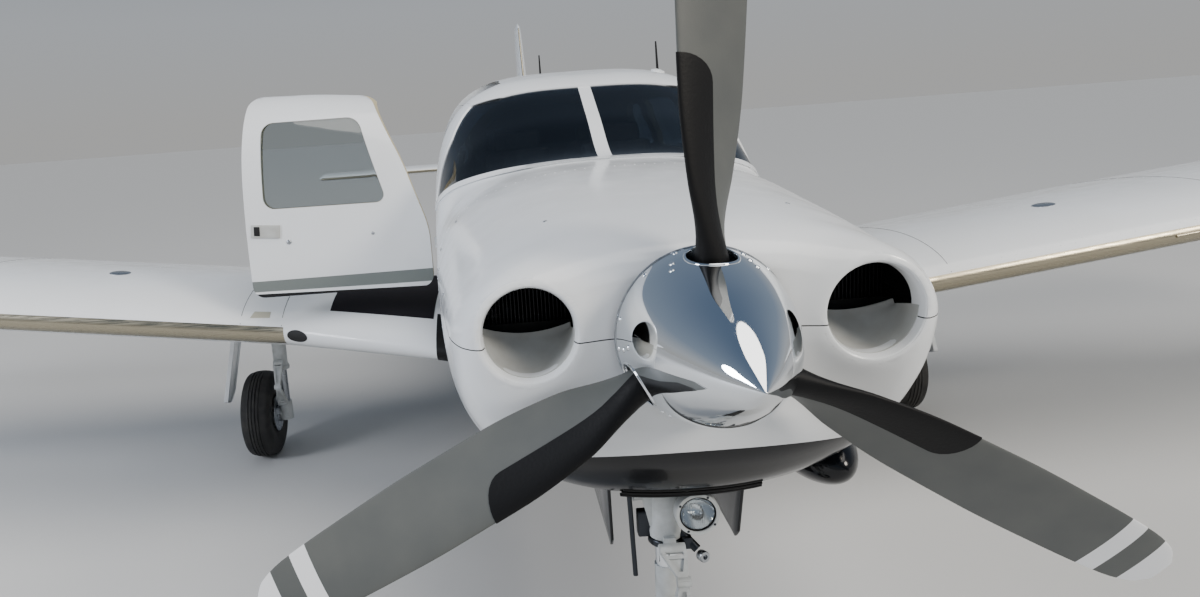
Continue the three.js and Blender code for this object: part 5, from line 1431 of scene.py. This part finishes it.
# %% Main legs and their doors
GEAR_DOOR = [(2.905, 0.9), (3.055, 0.9), (3.055, 0.33), (3, 0.286), (2.92, 0.31)]
for side, name in BOTH_SIDES:
    x = side * LEG_X

    def on_main(across, back, z):
        return at(x + across, MAIN_S + back, z)

    def upright(part, low, high, radius, material, sides):
        return bar(f"{name}_{part}", on_main(0, 0, low), on_main(0, 0, high), radius, material, sides=sides)

    def pair(part, low, high, radius, material, sides=40):
        """A round bar at the axle's height, between two distances out."""
        return bar(part, at(low, MAIN_S, MAIN_AXLE), at(high, MAIN_S, MAIN_AXLE), radius, material, sides=sides)

    def lug(back, z, radius):
        return bar("lug", on_main(-0.022, back, z), on_main(0.022, back, z), radius, casting, sides=32)

    leg = spun(f"{name}_leg_casting", [(0, 0.455), (0.04, 0.455), (0.0425, 0.459), (0.0425, 0.475), (0.036, 0.482),
        (0.036, 0.7), (0.042, 0.76), (0.042, 0.815), (0, 0.83)], at(x, MAIN_S, 0), (0, 0, 1), casting, closed=False,
        steps=48)
    fused(leg, bar("trunnion", on_main(0, -SLOT_HALF + 0.001, TRUNNION_Z), on_main(0, SLOT_HALF - 0.001, TRUNNION_Z),
        0.03, casting, sides=40), lug(-0.046, 0.5, 0.014), block("web", on_main(-0.014, -0.046, 0.487),
        on_main(0.014, 0, 0.513), casting))
    fitted(softened(leg, 0.004, 3), "casting", f"{name}_main_leg")
    piston = upright("piston", 0.2, 0.46, 0.026, steel, 48)
    foot = upright("foot", MAIN_AXLE - 0.035, MAIN_AXLE + 0.06, 0.034, casting, 40)
    fused(foot, pair("axle_stub", x, side * (WHEEL_X - 0.0806), 0.03, casting), lug(-0.04, 0.285, 0.013),
        block("web", on_main(-0.014, -0.04, 0.272), on_main(0.014, 0, 0.297), casting))
    softened(foot, 0.003, 3)
    axle = pair(f"{name}_axle", x, side * (WHEEL_X + 0.074), 0.02, steel)
    cap = pair("cap", side * (WHEEL_X + 0.051), side * (WHEEL_X + 0.068), 0.027, steel, 6)
    link = torque_link(f"{name}_torque_link", on_main(0, -0.05, 0.5), on_main(0, -0.112, 0.392),
        on_main(0, -0.044, 0.285), 0.024, 0.012, casting)
    caliper_x = side * (WHEEL_X - 0.072) - x
    caliper = block(f"{name}_caliper", on_main(caliper_x - 0.026, 0.056, 0.172),
        on_main(caliper_x + 0.026, 0.112, 0.262), casting)
    cut(caliper, block("slot", on_main(caliper_x - 0.006, 0.03, 0.16), on_main(caliper_x + 0.006, 0.1, 0.28),
        casting))
    softened(caliper, 0.006, 3)
    plate_outline = ((-0.045, 0.18), (-0.045, 0.264), (0.105, 0.256), (0.105, 0.19))
    plate = prism(f"{name}_torque_plate", [(MAIN_S + back, z) for back, z in plate_outline],
        *sorted((x + side * 0.036, x + side * 0.042)), steel, corner=0.02)
    for piece, slot in ((piston, "chrome"), (foot, "casting"), (axle, "steel"), (cap, "steel"), (link, "casting"),
            (caliper, "casting"), (plate, "steel")):
        fitted(smooth(piece), slot)
    panel = softened(prism(f"{name}_gear_door_panel", GEAR_DOOR, -0.004, 0.004, corner=0.015), 0.0015)
    for vertex in panel.data.vertices:
        vertex.co.x += side * (1.705 + (0.8 - vertex.co.z) * 0.24)
    wing_below = rolled("wing_below", [wing_ring(side, place) for place in steps(1.2, 2.2, 0.1)], white)
    wing_below.data.transform(Matrix.Translation((0, 0, -0.0006)))
    cut(panel, wing_below, block("over", at(-3, 0, 0.86), at(3, 5, 2)))
    painted(panel, 30, f"{name}_gear_door")

# %% [markdown]
# ## Engine and firewall
# Little of the engine shows, so it is made of its large parts: a crankcase, and four finned cylinders, two on
# each side, lying flat. The firewall is a sheet of stainless steel that closes the cabin's front.

# %% Crankcase, cylinders and firewall
CYLINDER_Z, FIN_SPACING, FIN_WIDTH = 1.175, 0.012, 0.003
engine_parts = [softened(block("crankcase", at(-0.16, 0.625, 1.055), at(0.16, 1.215, 1.295), casting), 0.03, 4)]
for side in (-1, 1):
    for station in (0.74, 1.01):
        fins_at = [(x, x + FIN_WIDTH, 0.094) for x in (0.165 + k * FIN_SPACING for k in range(15))]
        for near, far, radius in [*fins_at, (0.1, 0.395, 0.07)]:
            low, high = sorted((side * near, side * far))
            engine_parts.append(bar("fin", at(low, station, CYLINDER_Z), at(high, station, CYLINDER_Z), radius,
                fin_metal, sides=32))
        cover = block("cover", at(side * 0.36, station - 0.07, 1.115), at(side * 0.4, station + 0.07, 1.235),
            dark_steel)
        engine_parts.append(softened(cover, 0.012, 3))
engine_parts.append(softened(block("sump", at(-0.14, 0.66, 1), at(0.14, 1.16, 1.075), dark_steel), 0.02, 3))
fitted(smooth(together("engine_parts", engine_parts)), "engine", "engine_block")
fitted(frame_sheet("firewall_sheet", FIREWALL, steel), "steel", "firewall")

# %% [markdown]
# ## Inside the cabin
# The panel is a crackle-black sheet with round instruments under a padded glareshield, and each of the two
# control wheels is a bent horn. The dials carry plain marks and no names.

# %% Instrument panel and control wheels
PANEL_S, PANEL_DEPTH, PANEL_LOW, PANEL_TOP = 1.985, 0.04, 1.01, 1.395
cabin_space = form("cabin_space", CABIN_WALL + 0.0015, CABIN_START + 0.02, BULKHEAD - 0.01, 0.05)
panel = trimmed(block("instrument_panel_sheet", at(-1, PANEL_S, PANEL_LOW), at(1, PANEL_S + PANEL_DEPTH, PANEL_TOP),
    panel_black), cabin_space, keep=True)
panel_face = PANEL_S + PANEL_DEPTH
DIALS = [(x, z, 0.04) for z in (1.275, 1.175) for x in (0.175, 0.265, 0.355)]
DIALS += [(0.44, 1.275, 0.028), (0.44, 1.205, 0.028), (-0.12, 1.3, 0.028), (-0.12, 1.235, 0.028)]
DIALS += [(-0.2 - 0.062 * i, 1.3, 0.026) for i in range(4)]
dial_white = finish("dial_marks", "#e8e8e2", 0.5, IOR=1.46)
dial_bits = []
for x, z, radius in DIALS:
    def on_dial(proud, reach=0, turn=0):
        """A place proud of the panel, at a part of the dial's radius and an angle from the top."""
        return at(x + reach * radius * sin(turn), panel_face + proud, z + reach * radius * cos(turn))

    bezel = [(radius - 0.005, 0), (radius, 0), (radius + 0.002, 0.003), (radius, 0.006), (radius - 0.005, 0.003)]
    dial_bits += [spun("bezel", bezel, on_dial(0), (0, 1, 0), dark_steel, steps=40),
        bar("face", on_dial(-0.002), on_dial(0.0012), radius - 0.005, black_and_hole_shade, sides=40),
        bar("needle", on_dial(0.002), on_dial(0.002) + radius * Vector((0.5, 0, 0.35)), 0.0012, dial_white, 0.0004,
        8)]
    dial_bits += [bar("mark", on_dial(0.0014, 0.68, turn), on_dial(0.0014, 0.82, turn), 0.0007, dial_white, sides=6)
        for turn in turns(12)]
for low_z, high_z in ((1.215, 1.265), (1.15, 1.2), (1.095, 1.135), (1.045, 1.085)):
    radio = block("radio", at(-0.085, panel_face - 0.01, low_z), at(0.085, panel_face + 0.006, high_z), black_and_hole_shade)
    middle = (low_z + high_z) / 2
    dial_bits += [softened(radio, 0.003), *[bar("knob", at(x, panel_face, middle), at(x, panel_face + 0.022, middle),
        0.008, panel_black) for x in (-0.068, 0.068)]]
dials = together("instruments_and_radios", dial_bits)
glareshield = trimmed(block("glareshield", at(-0.43, 1.7, 1.376), at(0.43, 2.055, 1.395), panel_black), cabin_space)
pedestal = block("pedestal", at(-0.119, PANEL_S + 0.001, FLOOR_TOP + 0.0005), at(0.119, 2.134, 1.049), panel_black)
fused(panel, softened(glareshield, 0.006, 3), softened(pedestal, 0.02, 4))
levers = []
for k, colour in enumerate((black_and_hole_shade, dark_steel, duct_grey)):
    x = -0.03 + 0.03 * k
    levers += [bar("lever", at(x, panel_face, 1.03), at(x, panel_face + 0.09, 1.055), 0.004, steel),
        dome("lever_knob", at(x, panel_face + 0.095, 1.057), (0, 1, 0.2), 0.014, colour)]
YOKE_X, YOKE_Z, YOKE_S = 0.255, 1.215, PANEL_S + 0.202
HALF_HORN = [(-0.118, 0.092), (-0.12, 0.05), (-0.112, 0), (-0.085, -0.014), (-0.03, -0.008)]
HORN = [*HALF_HORN, (0, 0), *[(-across, rise) for across, rise in reversed(HALF_HORN)]]
ROUND = [(cos(turn), sin(turn)) for turn in turns(16)]
for x in (-YOKE_X, YOKE_X):
    tube = [[at(x + across + 0.012 * c, YOKE_S + 0.011 * s, YOKE_Z + rise + (0.011 * c if abs(across) < 0.1 else 0))
        for c, s in ROUND] for across, rise in HORN]
    horn = modified(rolled("horn", tube, panel_black), "SUBSURF")
    boss = bar("boss", at(x, YOKE_S - 0.015, YOKE_Z - 0.004), at(x, YOKE_S + 0.013, YOKE_Z - 0.004), 0.03,
        panel_black)
    levers += [bar("column", at(x, PANEL_S + 0.01, YOKE_Z), at(x, PANEL_S + 0.205, YOKE_Z), 0.0115, steel),
        smooth(horn, 60), softened(boss, 0.005, 3)]
controls = together("control_wheels_and_levers", levers)
fitted(smooth(panel), "panel", "instrument_panel")
fitted(smooth(dials, 40), "panel")
fitted(smooth(controls, 40), "panel")

# %% [markdown]
# ## Seats
# Each seat is a foam cushion and a foam back in leather, with piping along the seams and sewn channels. Swelling
# a box by hand never looks stuffed, so the pads are simulated: a closed bag of cloth is put under pressure for a
# few frames, and how far a point may move is capped as the seams of the real cover cap it.

# %% Stuffed pads
leather = finish("perforated_leather", "#8c8475", 0.5)
where, _ = places(leather)
pores = add(leather, "TexVoronoi", {"Vector": where, "Scale": 420}, feature="DISTANCE_TO_EDGE")
feed(leather, "Base Color", toned(leather, 0.08, 0.6, "#948c7d", "#7c7466", 4))
bumpy(leather, pores.outputs[0], 0.0006)
piping = finish("leather_piping", "#5f594e", 0.5)
STUFFING_PRESSURE, STUFFING_FRAMES = 4, 20
CHANNEL_HALF, CHANNEL_FADE, PIPING_RADIUS = 0.006, 0.03, 0.0035
grained(piping, 0.003, 0.0002)


def stuffed(name, size, corner, voxel, limit):
    """A sewn and filled pad, lying with its underside on the origin."""
    pad = block(name, (-size[0] / 2, -size[1] / 2, 0), (size[0] / 2, size[1] / 2, size[2]), leather)
    modified(pad, "BEVEL", width=corner, segments=5, limit_method="NONE")
    modified(pad, "REMESH", mode="VOXEL", voxel_size=voxel)
    before = [vertex.co.copy() for vertex in pad.data.vertices]
    only(pad)
    cloth = pad.modifiers.new("stuffing", "CLOTH")
    cloth.settings.use_pressure = True
    cloth.settings.uniform_pressure_force = STUFFING_PRESSURE
    cloth.settings.effector_weights.gravity = 0
    for frame_number in range(1, STUFFING_FRAMES + 1):
        bpy.context.scene.frame_set(frame_number)
    bpy.ops.object.modifier_apply(modifier=cloth.name)
    bpy.context.scene.frame_set(1)
    for vertex, start in zip(pad.data.vertices, before):
        moved = vertex.co - start
        if moved.length > limit:
            vertex.co = start + moved.normalized() * limit
        vertex.co.z = max(vertex.co.z, 0)
    return pad


def channelled(pad, across, pitch, low, high, depth=0.006):
    """Presses sewn channels into a pad's upper side, a pitch apart."""
    seams = [(i - (across - 1) / 2) * pitch for i in range(across)]
    for vertex in pad.data.vertices:
        near = min(abs(vertex.co.x - seam) for seam in seams)
        fade = max(0, min(1, (vertex.co.y - low) / CHANNEL_FADE, (high - vertex.co.y) / CHANNEL_FADE))
        if vertex.co.z > 0.03:
            vertex.co.z -= depth * fade * exp(-(near / CHANNEL_HALF) ** 2)
    return pad


def piped(pad, size, corner):
    """A line of piping round the pad's upper edge, laid on its surface."""
    half_width, half_length, height = size[0] / 2 - corner * 0.45, size[1] / 2 - corner * 0.45, size[2]
    path = []
    for turn in turns(72):
        target = Vector((power(cos(turn), 0.22) * half_width, power(sin(turn), 0.22) * half_length, height * 0.93))
        _, spot, normal, _ = pad.closest_point_on_mesh(target)
        path.append((spot + normal * 0.001, normal))
    rings = []
    for k, (spot, normal) in enumerate(path):
        side = (path[(k + 1) % len(path)][0] - path[k - 1][0]).cross(normal).normalized()
        rings.append([spot + (side * cos(b) + normal * sin(b)) * PIPING_RADIUS for b in turns(8)])
    return smooth(rolled("piping", [*rings, rings[0]], piping, capped=False), 60)


def seat_pad(name, size, corner, voxel, limit, channels, pitch):
    pad = channelled(stuffed(name, size, corner, voxel, limit), channels, pitch, 0.05 - size[1] / 2,
        size[1] / 2 - 0.05)
    modified(pad, "SUBSURF")
    return together(name, [smooth(pad, 60), piped(pad, size, corner)])


def seat_piece(piece, name, x, station, z, tilt):
    """A copy of a pad in its place, leant back from flat by tilt degrees."""
    copy = twin(piece, name)
    copy.data.transform(Matrix.Translation(at(x, station, z)) @ Matrix.Rotation(radians(tilt), 4, "X"))
    return copy


# Size of the pad, rounding, voxel, how far the cover lets it swell, channels and their pitch
PADS = {
    "front_cushion": ((0.37, 0.42, 0.11), 0.028, 0.009, 0.016, 5, 0.062),
    "front_backrest": ((0.36, 0.5, 0.085), 0.028, 0.009, 0.016, 5, 0.062),
    "rear_cushion": ((0.98, 0.42, 0.11), 0.028, 0.013, 0.016, 13, 0.068),
    "rear_backrest": ((0.98, 0.5, 0.085), 0.028, 0.013, 0.016, 13, 0.068),
    "head_pad": ((0.24, 0.13, 0.07), 0.024, 0.008, 0.01, 1, 1),
}
pads = {name: seat_pad(name, *measures) for name, measures in PADS.items()}
for name, row, x, front, top, half, heads in (("right_front_seat", "front", -0.245, 2.42, 1.01, 0.15,
        ((-0.245, "head_pad"),)), ("left_front_seat", "front", 0.245, 2.42, 1.01, 0.15, ((0.245, "head_pad"),)),
        ("rear_seat", "rear", 0, 3.33, 0.99, 0.44, ((-0.27, "right_head_pad"), (0.27, "left_head_pad")))):
    seat = [seat_piece(pads[f"{row}_cushion"], f"{name}_cushion", x, front + 0.235, top - 0.115, 3),
        seat_piece(pads[f"{row}_backrest"], f"{name}_backrest", x, front + 0.545, top + 0.225, 76)]
    seat += [seat_piece(pads["head_pad"], f"{name}_{head}", head_x, front + 0.61, top + 0.505, 76) for head_x,
        head in heads]
    for pad, nodes in zip(seat, ([name], [], [], [])):
        fitted(pad, "seat", *nodes)
    frame_parts = [block("box", at(x - half, front + 0.05, FLOOR_TOP + 0.0006),
        at(x + half, front + 0.44, top - 0.118), carpet)]
    frame_parts += [bar("post", at(x + out, front + 0.5, top - 0.12), at(x + out, front + 0.6, top + 0.4), 0.009,
        steel) for out in (-half, half)]
    fitted(softened(together(f"{name}_frame", frame_parts), 0.004), "steel")
discard(*pads.values())

# %% [markdown]
# ## Rivets, hinges, aerials and lamps
# What is left is small, and it tells the eye how large the aircraft is. Each piece is laid on a skin by a function
# that gives a place there and the way out of the metal, so that a row of rivets is a short list of places.


# %% Places on the skins
def slopes(height, a, b, step=0.002):
    """A height over two measures, and how fast it grows along each."""
    here = height(a, b)
    return here, (height(a + step, b) - here) / step, (height(a, b + step) - here) / step


def hull(side, station, z):
    """A place on the fuselage's side, and the way out there."""
    def half_at(place, height):
        _, half, bottom, widest, top, lower, upper = between(SECTIONS, place)
        reach, exponent = (top - widest, upper) if height > widest else (bottom - widest, lower)
        return half * max(0, 1 - ((height - widest) / reach) ** exponent) ** (1 / exponent)

    x, along, rise = slopes(half_at, station, z)
    return at(side * x, station, z), Vector((side, -along, -rise)).normalized()


def crown(x, station):
    """A place on the fuselage's top, and the way out there."""
    def top_at(across, place):
        _, half, _, widest, top, _, upper = between(SECTIONS, place)
        return widest + (top - widest) * max(0, 1 - abs(across / half) ** upper) ** (1 / upper)

    z, across, along = slopes(top_at, x, station)
    return at(x, station, z), Vector((-across, -along, 1)).normalized()


def on_wing(side, x, station):
    """A place on a wing's top, and the way out there."""
    def top_at(out, place):
        _, lead, chord, _, _ = wing_row(out)
        return wing_place(side, out, min(1, max(0, (place - lead) / chord))).z

    z, out, along = slopes(top_at, x, station)
    return at(side * x, station, z), Vector((-side * out, -along, 1)).normalized()


def on_edge(side, x, up, nose=0.039):
    """A place on the wing's rounded leading edge, up or down from its middle, and the way out there."""
    share = up * up / (2 * nose) / wing_row(x)[2]
    return (wing_place(side, x, share, copysign(1, up)), Vector((0, -cos(up / nose), sin(up / nose))))


def door_spot(station, z):
    """A place on the open door, given where it is when the door is shut."""
    place, way = hull(-1, station, z)
    return door_open @ place, door_open.to_3x3() @ way


def sheet(name, corners, place_on, material, thick=0.0012, count=10):
    """A thin piece lying on a skin between four corners."""
    first, second, third, fourth = (Vector(corner) for corner in corners)
    rows = []
    for u in steps(0, 1, 1 / count):
        spots = [place_on(*first.lerp(second, v).lerp(fourth.lerp(third, v), u)) for v in steps(0, 1, 1 / count)]
        rows.append([place + way * thick * 0.4 for place, way in spots])
    piece = rolled(name, rows, material, closed=False)
    return modified(piece, "SOLIDIFY", thickness=thick * 1.2, offset=0)


def studs(name, spots, radius, material):
    """Rivet or screw heads: one dome copied to each place, standing on the skin."""
    head = dome("head", (0, 0, 0), (0, 0, 1), radius, material)
    copies = []
    for place, way in spots:
        copies.append(twin(head, "head"))
        copies[-1].data.transform(Matrix.Translation(place) @ way.to_track_quat("Z", "Y").to_matrix().to_4x4())
    discard(head)
    return smooth(together(name, copies), 60)


# %% Windscreen trim, rivets and cowl fasteners
TRIM_WIDTH, TRIM_THICKNESS = 0.026, 0.005


def screen_foot(x, ahead):
    """Where the windscreen's lower edge meets the top of the fuselage, moved ahead."""
    low, high = 1.45, 1.95
    for _ in range(20):
        middle = (low + high) / 2
        if crown(x, middle)[0].z < straight(WINDSCREEN[:4], middle)[1]:
            low = middle
        else:
            high = middle
    return crown(x, low - ahead)


trim = cut(form("windscreen_trim", -TRIM_THICKNESS, 1.42, 2.4, 0.03), form("inside", 0, 1.4, 2.42, 0.03))
trimmed(trim, prism("outer", grown(WINDSCREEN, TRIM_WIDTH), -0.9, 0.9))
cut(trim, prism("inner", WINDSCREEN, -0.9, 0.9))
painted(trim, 35)
rivets = []
for x in steps(-0.56, 0.56, 0.03):
    rivets += [screen_foot(x, ahead) for ahead in (0.011, 0.037)]
    rivets.append(crown(x, FIREWALL + 0.028))
for side in (-1, 1):
    frame_line = grown(WINDSCREEN, TRIM_WIDTH / 2)[3:8]
    for (s1, z1), (s2, z2) in zip(frame_line, frame_line[1:]):
        count = max(1, round(hypot(s2 - s1, z2 - z1) / 0.035))
        rivets += [hull(side, s1 + (s2 - s1) * k / count, z1 + (z2 - z1) * k / count) for k in range(count)]
    rivets += [hull(side, FIREWALL + 0.028, z) for z in steps(0.86, 1.36, 0.035)]
    rivets += [hull(side, s, ROOF_SEAM + 0.018) for s in steps(2.86, 4.24, 0.05)]
for station in (3.505, 4.265, 4.345, 5.1, 5.9, 6.55):
    middle = at(0, station, 1.18)
    rivets += [(place, (place - middle).normalized()) for place in section(station, 0, 64) if place.z < 1.69]
for side in (-1, 1):
    for x in (1.3, 1.462, 2, 2.715, 3.4, 4.1, 4.86):
        _, lead, chord, _, _ = wing_row(x)
        rivets += [on_wing(side, x, lead + chord * share) for share in steps(0.03, 0.74, 0.035)]
    rivets += [on_wing(side, x, wing_row(x)[1] + 0.03) for x in steps(1.3, 5.1, 0.06)]
fitted(studs("skin_rivets", rivets, 0.0024, white), "white_paint")
fasteners = [crown(-0.279, 0.688), crown(0.279, 0.688)]
for side in (-1, 1):
    fasteners += [hull(side, s, COWL_SEAM + 0.03) for s in (0.475, 0.62, 0.8, 0.98, 1.16)]
    fasteners += [hull(side, FIREWALL - 0.022, z) for z in steps(0.8, 1.36, 0.08)]
fitted(studs("cowl_fasteners", fasteners, 0.0052, steel), "steel")
aerials = []
for x, station, tip_z in ((-0.08, 3.3, 1.95), (0.347, 2.4, 1.917)):
    foot, way = crown(x, station)
    aerials += [bar("rod", foot, at(x, station + 0.02, tip_z), 0.0055, seal_rubber, 0.0035, 16),
        spun("foot", [(0, -0.006), (0.03, -0.006), (0.028, 0.006), (0.01, 0.012), (0, 0.012)], foot, way, white,
        closed=False, steps=32)]
painted(together("roof_aerials", aerials), 40)

# %% Markings and fittings on the wings
fitted(smooth(sheet("wing_walkway", [(0.654, 2.03), (1.085, 2.156), (1.082, 3.2), (0.64, 3.2)], lambda x,
    s: on_wing(-1, x, s), walk_black, count=28), 30), "floor")
placard_finish = finish("bare_placard", "#b7b4a4", 0.5)
wing_bits = [sheet("placard", [(1.335, 2.147), (1.414, 2.143), (1.401, 2.178), (1.335, 2.18)], lambda x,
    s: on_wing(-1, x, s), placard_finish, 0.0008)]
lamp_colours = {-1: finish("starboard_lamp_glass", "#1d8f4f", 0.05), 1: finish("port_lamp_glass", "#a81a1a", 0.05)}
EDGE_HOLE_X, EDGE_HOLE_WIDE, EDGE_HOLE_HIGH, SEAM_HALF = 1.215, 0.044, 0.026, 0.0009
for side in (-1, 1):
    for x in (1.283, 1.45, 2.728):
        lead, chord = wing_row(x)[1:3]
        ends = (lead + 0.012, lead + 0.74 * chord)
        wing_bits.append(sheet("seam", [(x - SEAM_HALF, ends[0]), (x - SEAM_HALF, ends[1]), (x + SEAM_HALF, ends[1]),
            (x + SEAM_HALF, ends[0])], lambda x, s: on_wing(side, x, s), seal_rubber, 0.0006, 30))
    # The inlet in the wing root is not cut: a flat black sheet on the leading edge stands for it, and its black is
    # painted shade.
    wing_bits.append(sheet("edge_hole", [(0, 0), (1, 0), (1, 2 * pi), (0, 2 * pi)], lambda share,
        turn: on_edge(side, EDGE_HOLE_X + EDGE_HOLE_WIDE * share * cos(turn),
        -0.003 + EDGE_HOLE_HIGH * share * sin(turn)), black_and_hole_shade, 0.0012, 24))
    wing_bits.append(sheet("lamp", [(5.18, -0.02), (5.27, -0.018), (5.27, 0.018), (5.18, 0.02)], lambda x,
        up: on_edge(side, x, up, 0.024), lamp_colours[side], 0.004))
    cap_place, cap_way = on_wing(side, 2.1, 2.56)
    wing_bits.append(spun("fuel_cap", [(0, -0.004), (0.046, -0.004), (0.046, 0.001), (0.04, 0.003), (0, 0.003)],
        cap_place, cap_way, steel, closed=False, steps=48))
    root_rows = []
    for x in (0.585, 0.6, 0.62, 0.64):
        middle = wing_place(side, x, 0.12, 1).lerp(wing_place(side, x, 0.12, -1), 0.5)
        wrap = [wing_place(side, x, share * share * 0.12, copysign(1, share)) for share in steps(-1, 1, 0.1)]
        root_rows.append([place + (place - middle).normalized() * 0.0015 for place in wrap])
    wing_bits.append(modified(rolled("root_seal", root_rows, seal_rubber, closed=False), "SOLIDIFY", thickness=0.003,
        offset=0))
pitot_top = wing_place(1, 2.9, 0.2, -1)
pitot_foot = pitot_top - Vector((0, 0, 0.11))
wing_bits += [bar("stall_strip", wing_place(1, 2.35, 0), wing_place(1, 2.44, 0), 0.006, brushed, sides=12),
    bar("pitot_mast", pitot_top, pitot_foot, 0.012, steel, sides=16),
    bar("pitot_tube", pitot_foot + Vector((0, 0.02, 0)), pitot_foot - Vector((0, 0.11, 0)), 0.011, steel, 0.008)]
fitted(smooth(together("wing_fittings", wing_bits), 40), "steel")

# %% Hinges, handle, exhaust and step
hinge_bits = {"airframe": [], "front_door": [], "baggage_door": []}
for body, hinge_x, hinge_s, heights in (("front_door", *DOOR_HINGE, (1.09, 1.19)),
        ("baggage_door", hull(-1, 3.615, 1.13)[0].x, 3.615, (1.06, 1.21))):
    for z in heights:
        for owner, low, high in (("airframe", -0.02, -0.008), (body, -0.0065, 0.0065), ("airframe", 0.008, 0.02)):
            hinge_bits[owner].append(bar("knuckle", at(hinge_x, hinge_s, z + low), at(hinge_x, hinge_s, z + high),
                0.008, casting))
        leaf = [(hinge_s - back, z + up) for back, up in ((0.034, -0.018), (0.01, -0.018), (0.01, 0.018),
            (0.034, 0.018))]
        hinge_bits["airframe"].append(sheet("leaf", leaf, lambda s, z: hull(-1, s, z), casting, 0.002, 3))
for corners, material, thick in (([(2.765, 1.312), (2.652, 1.303), (2.658, 1.252), (2.772, 1.261)], duct_grey, 0.005),
        ([(2.755, 1.304), (2.732, 1.302), (2.734, 1.266), (2.757, 1.268)], black_and_hole_shade, 0.0065)):
    hinge_bits["front_door"].append(softened(sheet("handle", corners, door_spot, material, thick, 4), 0.0012))
for station, z, radius in ((2.625, 1.234, 0.01), (2.293, 1.245, 0.007)):
    hinge_bits["front_door"].append(dome("lock", *door_spot(station, z), radius, steel))
for body, bits in hinge_bits.items():
    fitted(smooth(together(f"{body}_hinge_parts", bits), 40), "steel", body=body)
exhaust = spun("exhaust_pipe", [(0.02, -0.16), (0.0225, -0.16), (0.0225, 0.1), (0.02, 0.1)], at(0.205, 1.21, 0.64),
    (0, -0.55, 0.84), dark_steel, steps=32)
step_parts = [bar("step_leg", at(-0.46, 3.75, 0.78), at(-0.56, 3.8, 0.475), 0.013, steel, sides=20),
    softened(block("step_tread", at(-0.66, 3.74, 0.462), at(-0.53, 3.86, 0.478), walk_black), 0.004)]
fitted(smooth(exhaust, 40), "steel")
fitted(smooth(together("boarding_step", step_parts), 40), "steel")

# %% [markdown]
# ## Floor and light
# The aircraft stands on a plain pale floor. A wide sun overhead lights it softly and evenly, and a round lamp on
# each side ahead gives the cowl and the spinner their shine. The sky is pale at the floor's edge and bluer above.

# %% Floor, lights and sky
floor_finish = finish("studio_floor", "#c6c6c5", 0.95, IOR=1.3)
studio_floor = added(bpy.ops.mesh.primitive_plane_add, size=180, location=(0, 0, -0.001))
settled(studio_floor, "studio_floor", floor_finish)


def soft_light(name, kind, place, target, size, power, colour):
    """A soft light aimed at a point: a round lamp so many metres across, or a sun so many radians wide."""
    data = bpy.data.lights.new(name, kind)
    if kind == "AREA":
        data.shape, data.size = "DISK", size
    else:
        data.angle = size
    data.energy = power
    data.color = linear(colour)[:3]
    light = bpy.data.objects.new(name, data)
    light.location = place
    light.rotation_euler = (Vector(target) - Vector(place)).to_track_quat("-Z", "Y").to_euler()
    bpy.context.collection.objects.link(light)


soft_light("overhead", "SUN", (2.5, -2, 9), (0, 0, 0.5), 0.9, 2.1, "#fffaf2")
soft_light("port_lamp", "AREA", (7.5, -9, 6), (0, -1.5, 1), 3, 700, "#fff6e8")
soft_light("starboard_lamp", "AREA", (-8, -5.5, 4.5), (0, -1.5, 1.2), 3, 500, "#f2f6ff")
sky = bpy.data.worlds.new("studio")
bpy.context.scene.world = sky
sky.use_nodes = True
backdrop = sky.node_tree.nodes["Background"]
where = add(sky, "TexCoord")
split = add(sky, "SeparateXYZ", {0: where.outputs["Generated"]})
lift = add(sky, "MapRange", {0: split.outputs["Z"], 1: -1, 2: 1})
ramp = add(sky, "ValToRGB", {0: lift.outputs[0]})
stops = [(0, "#e0e0df"), (0.505, "#e0e0df"), (0.56, "#dde2e8"), (0.68, "#a9b9cd"), (1, "#7489a6")]
for place, colour in stops[1:-1]:
    ramp.color_ramp.elements.new(place)
for element, (place, colour) in zip(ramp.color_ramp.elements, stops):
    element.position, element.color = place, linear(colour)
sky.node_tree.links.new(ramp.outputs[0], backdrop.inputs["Color"])
backdrop.inputs["Strength"].default_value = 0.55
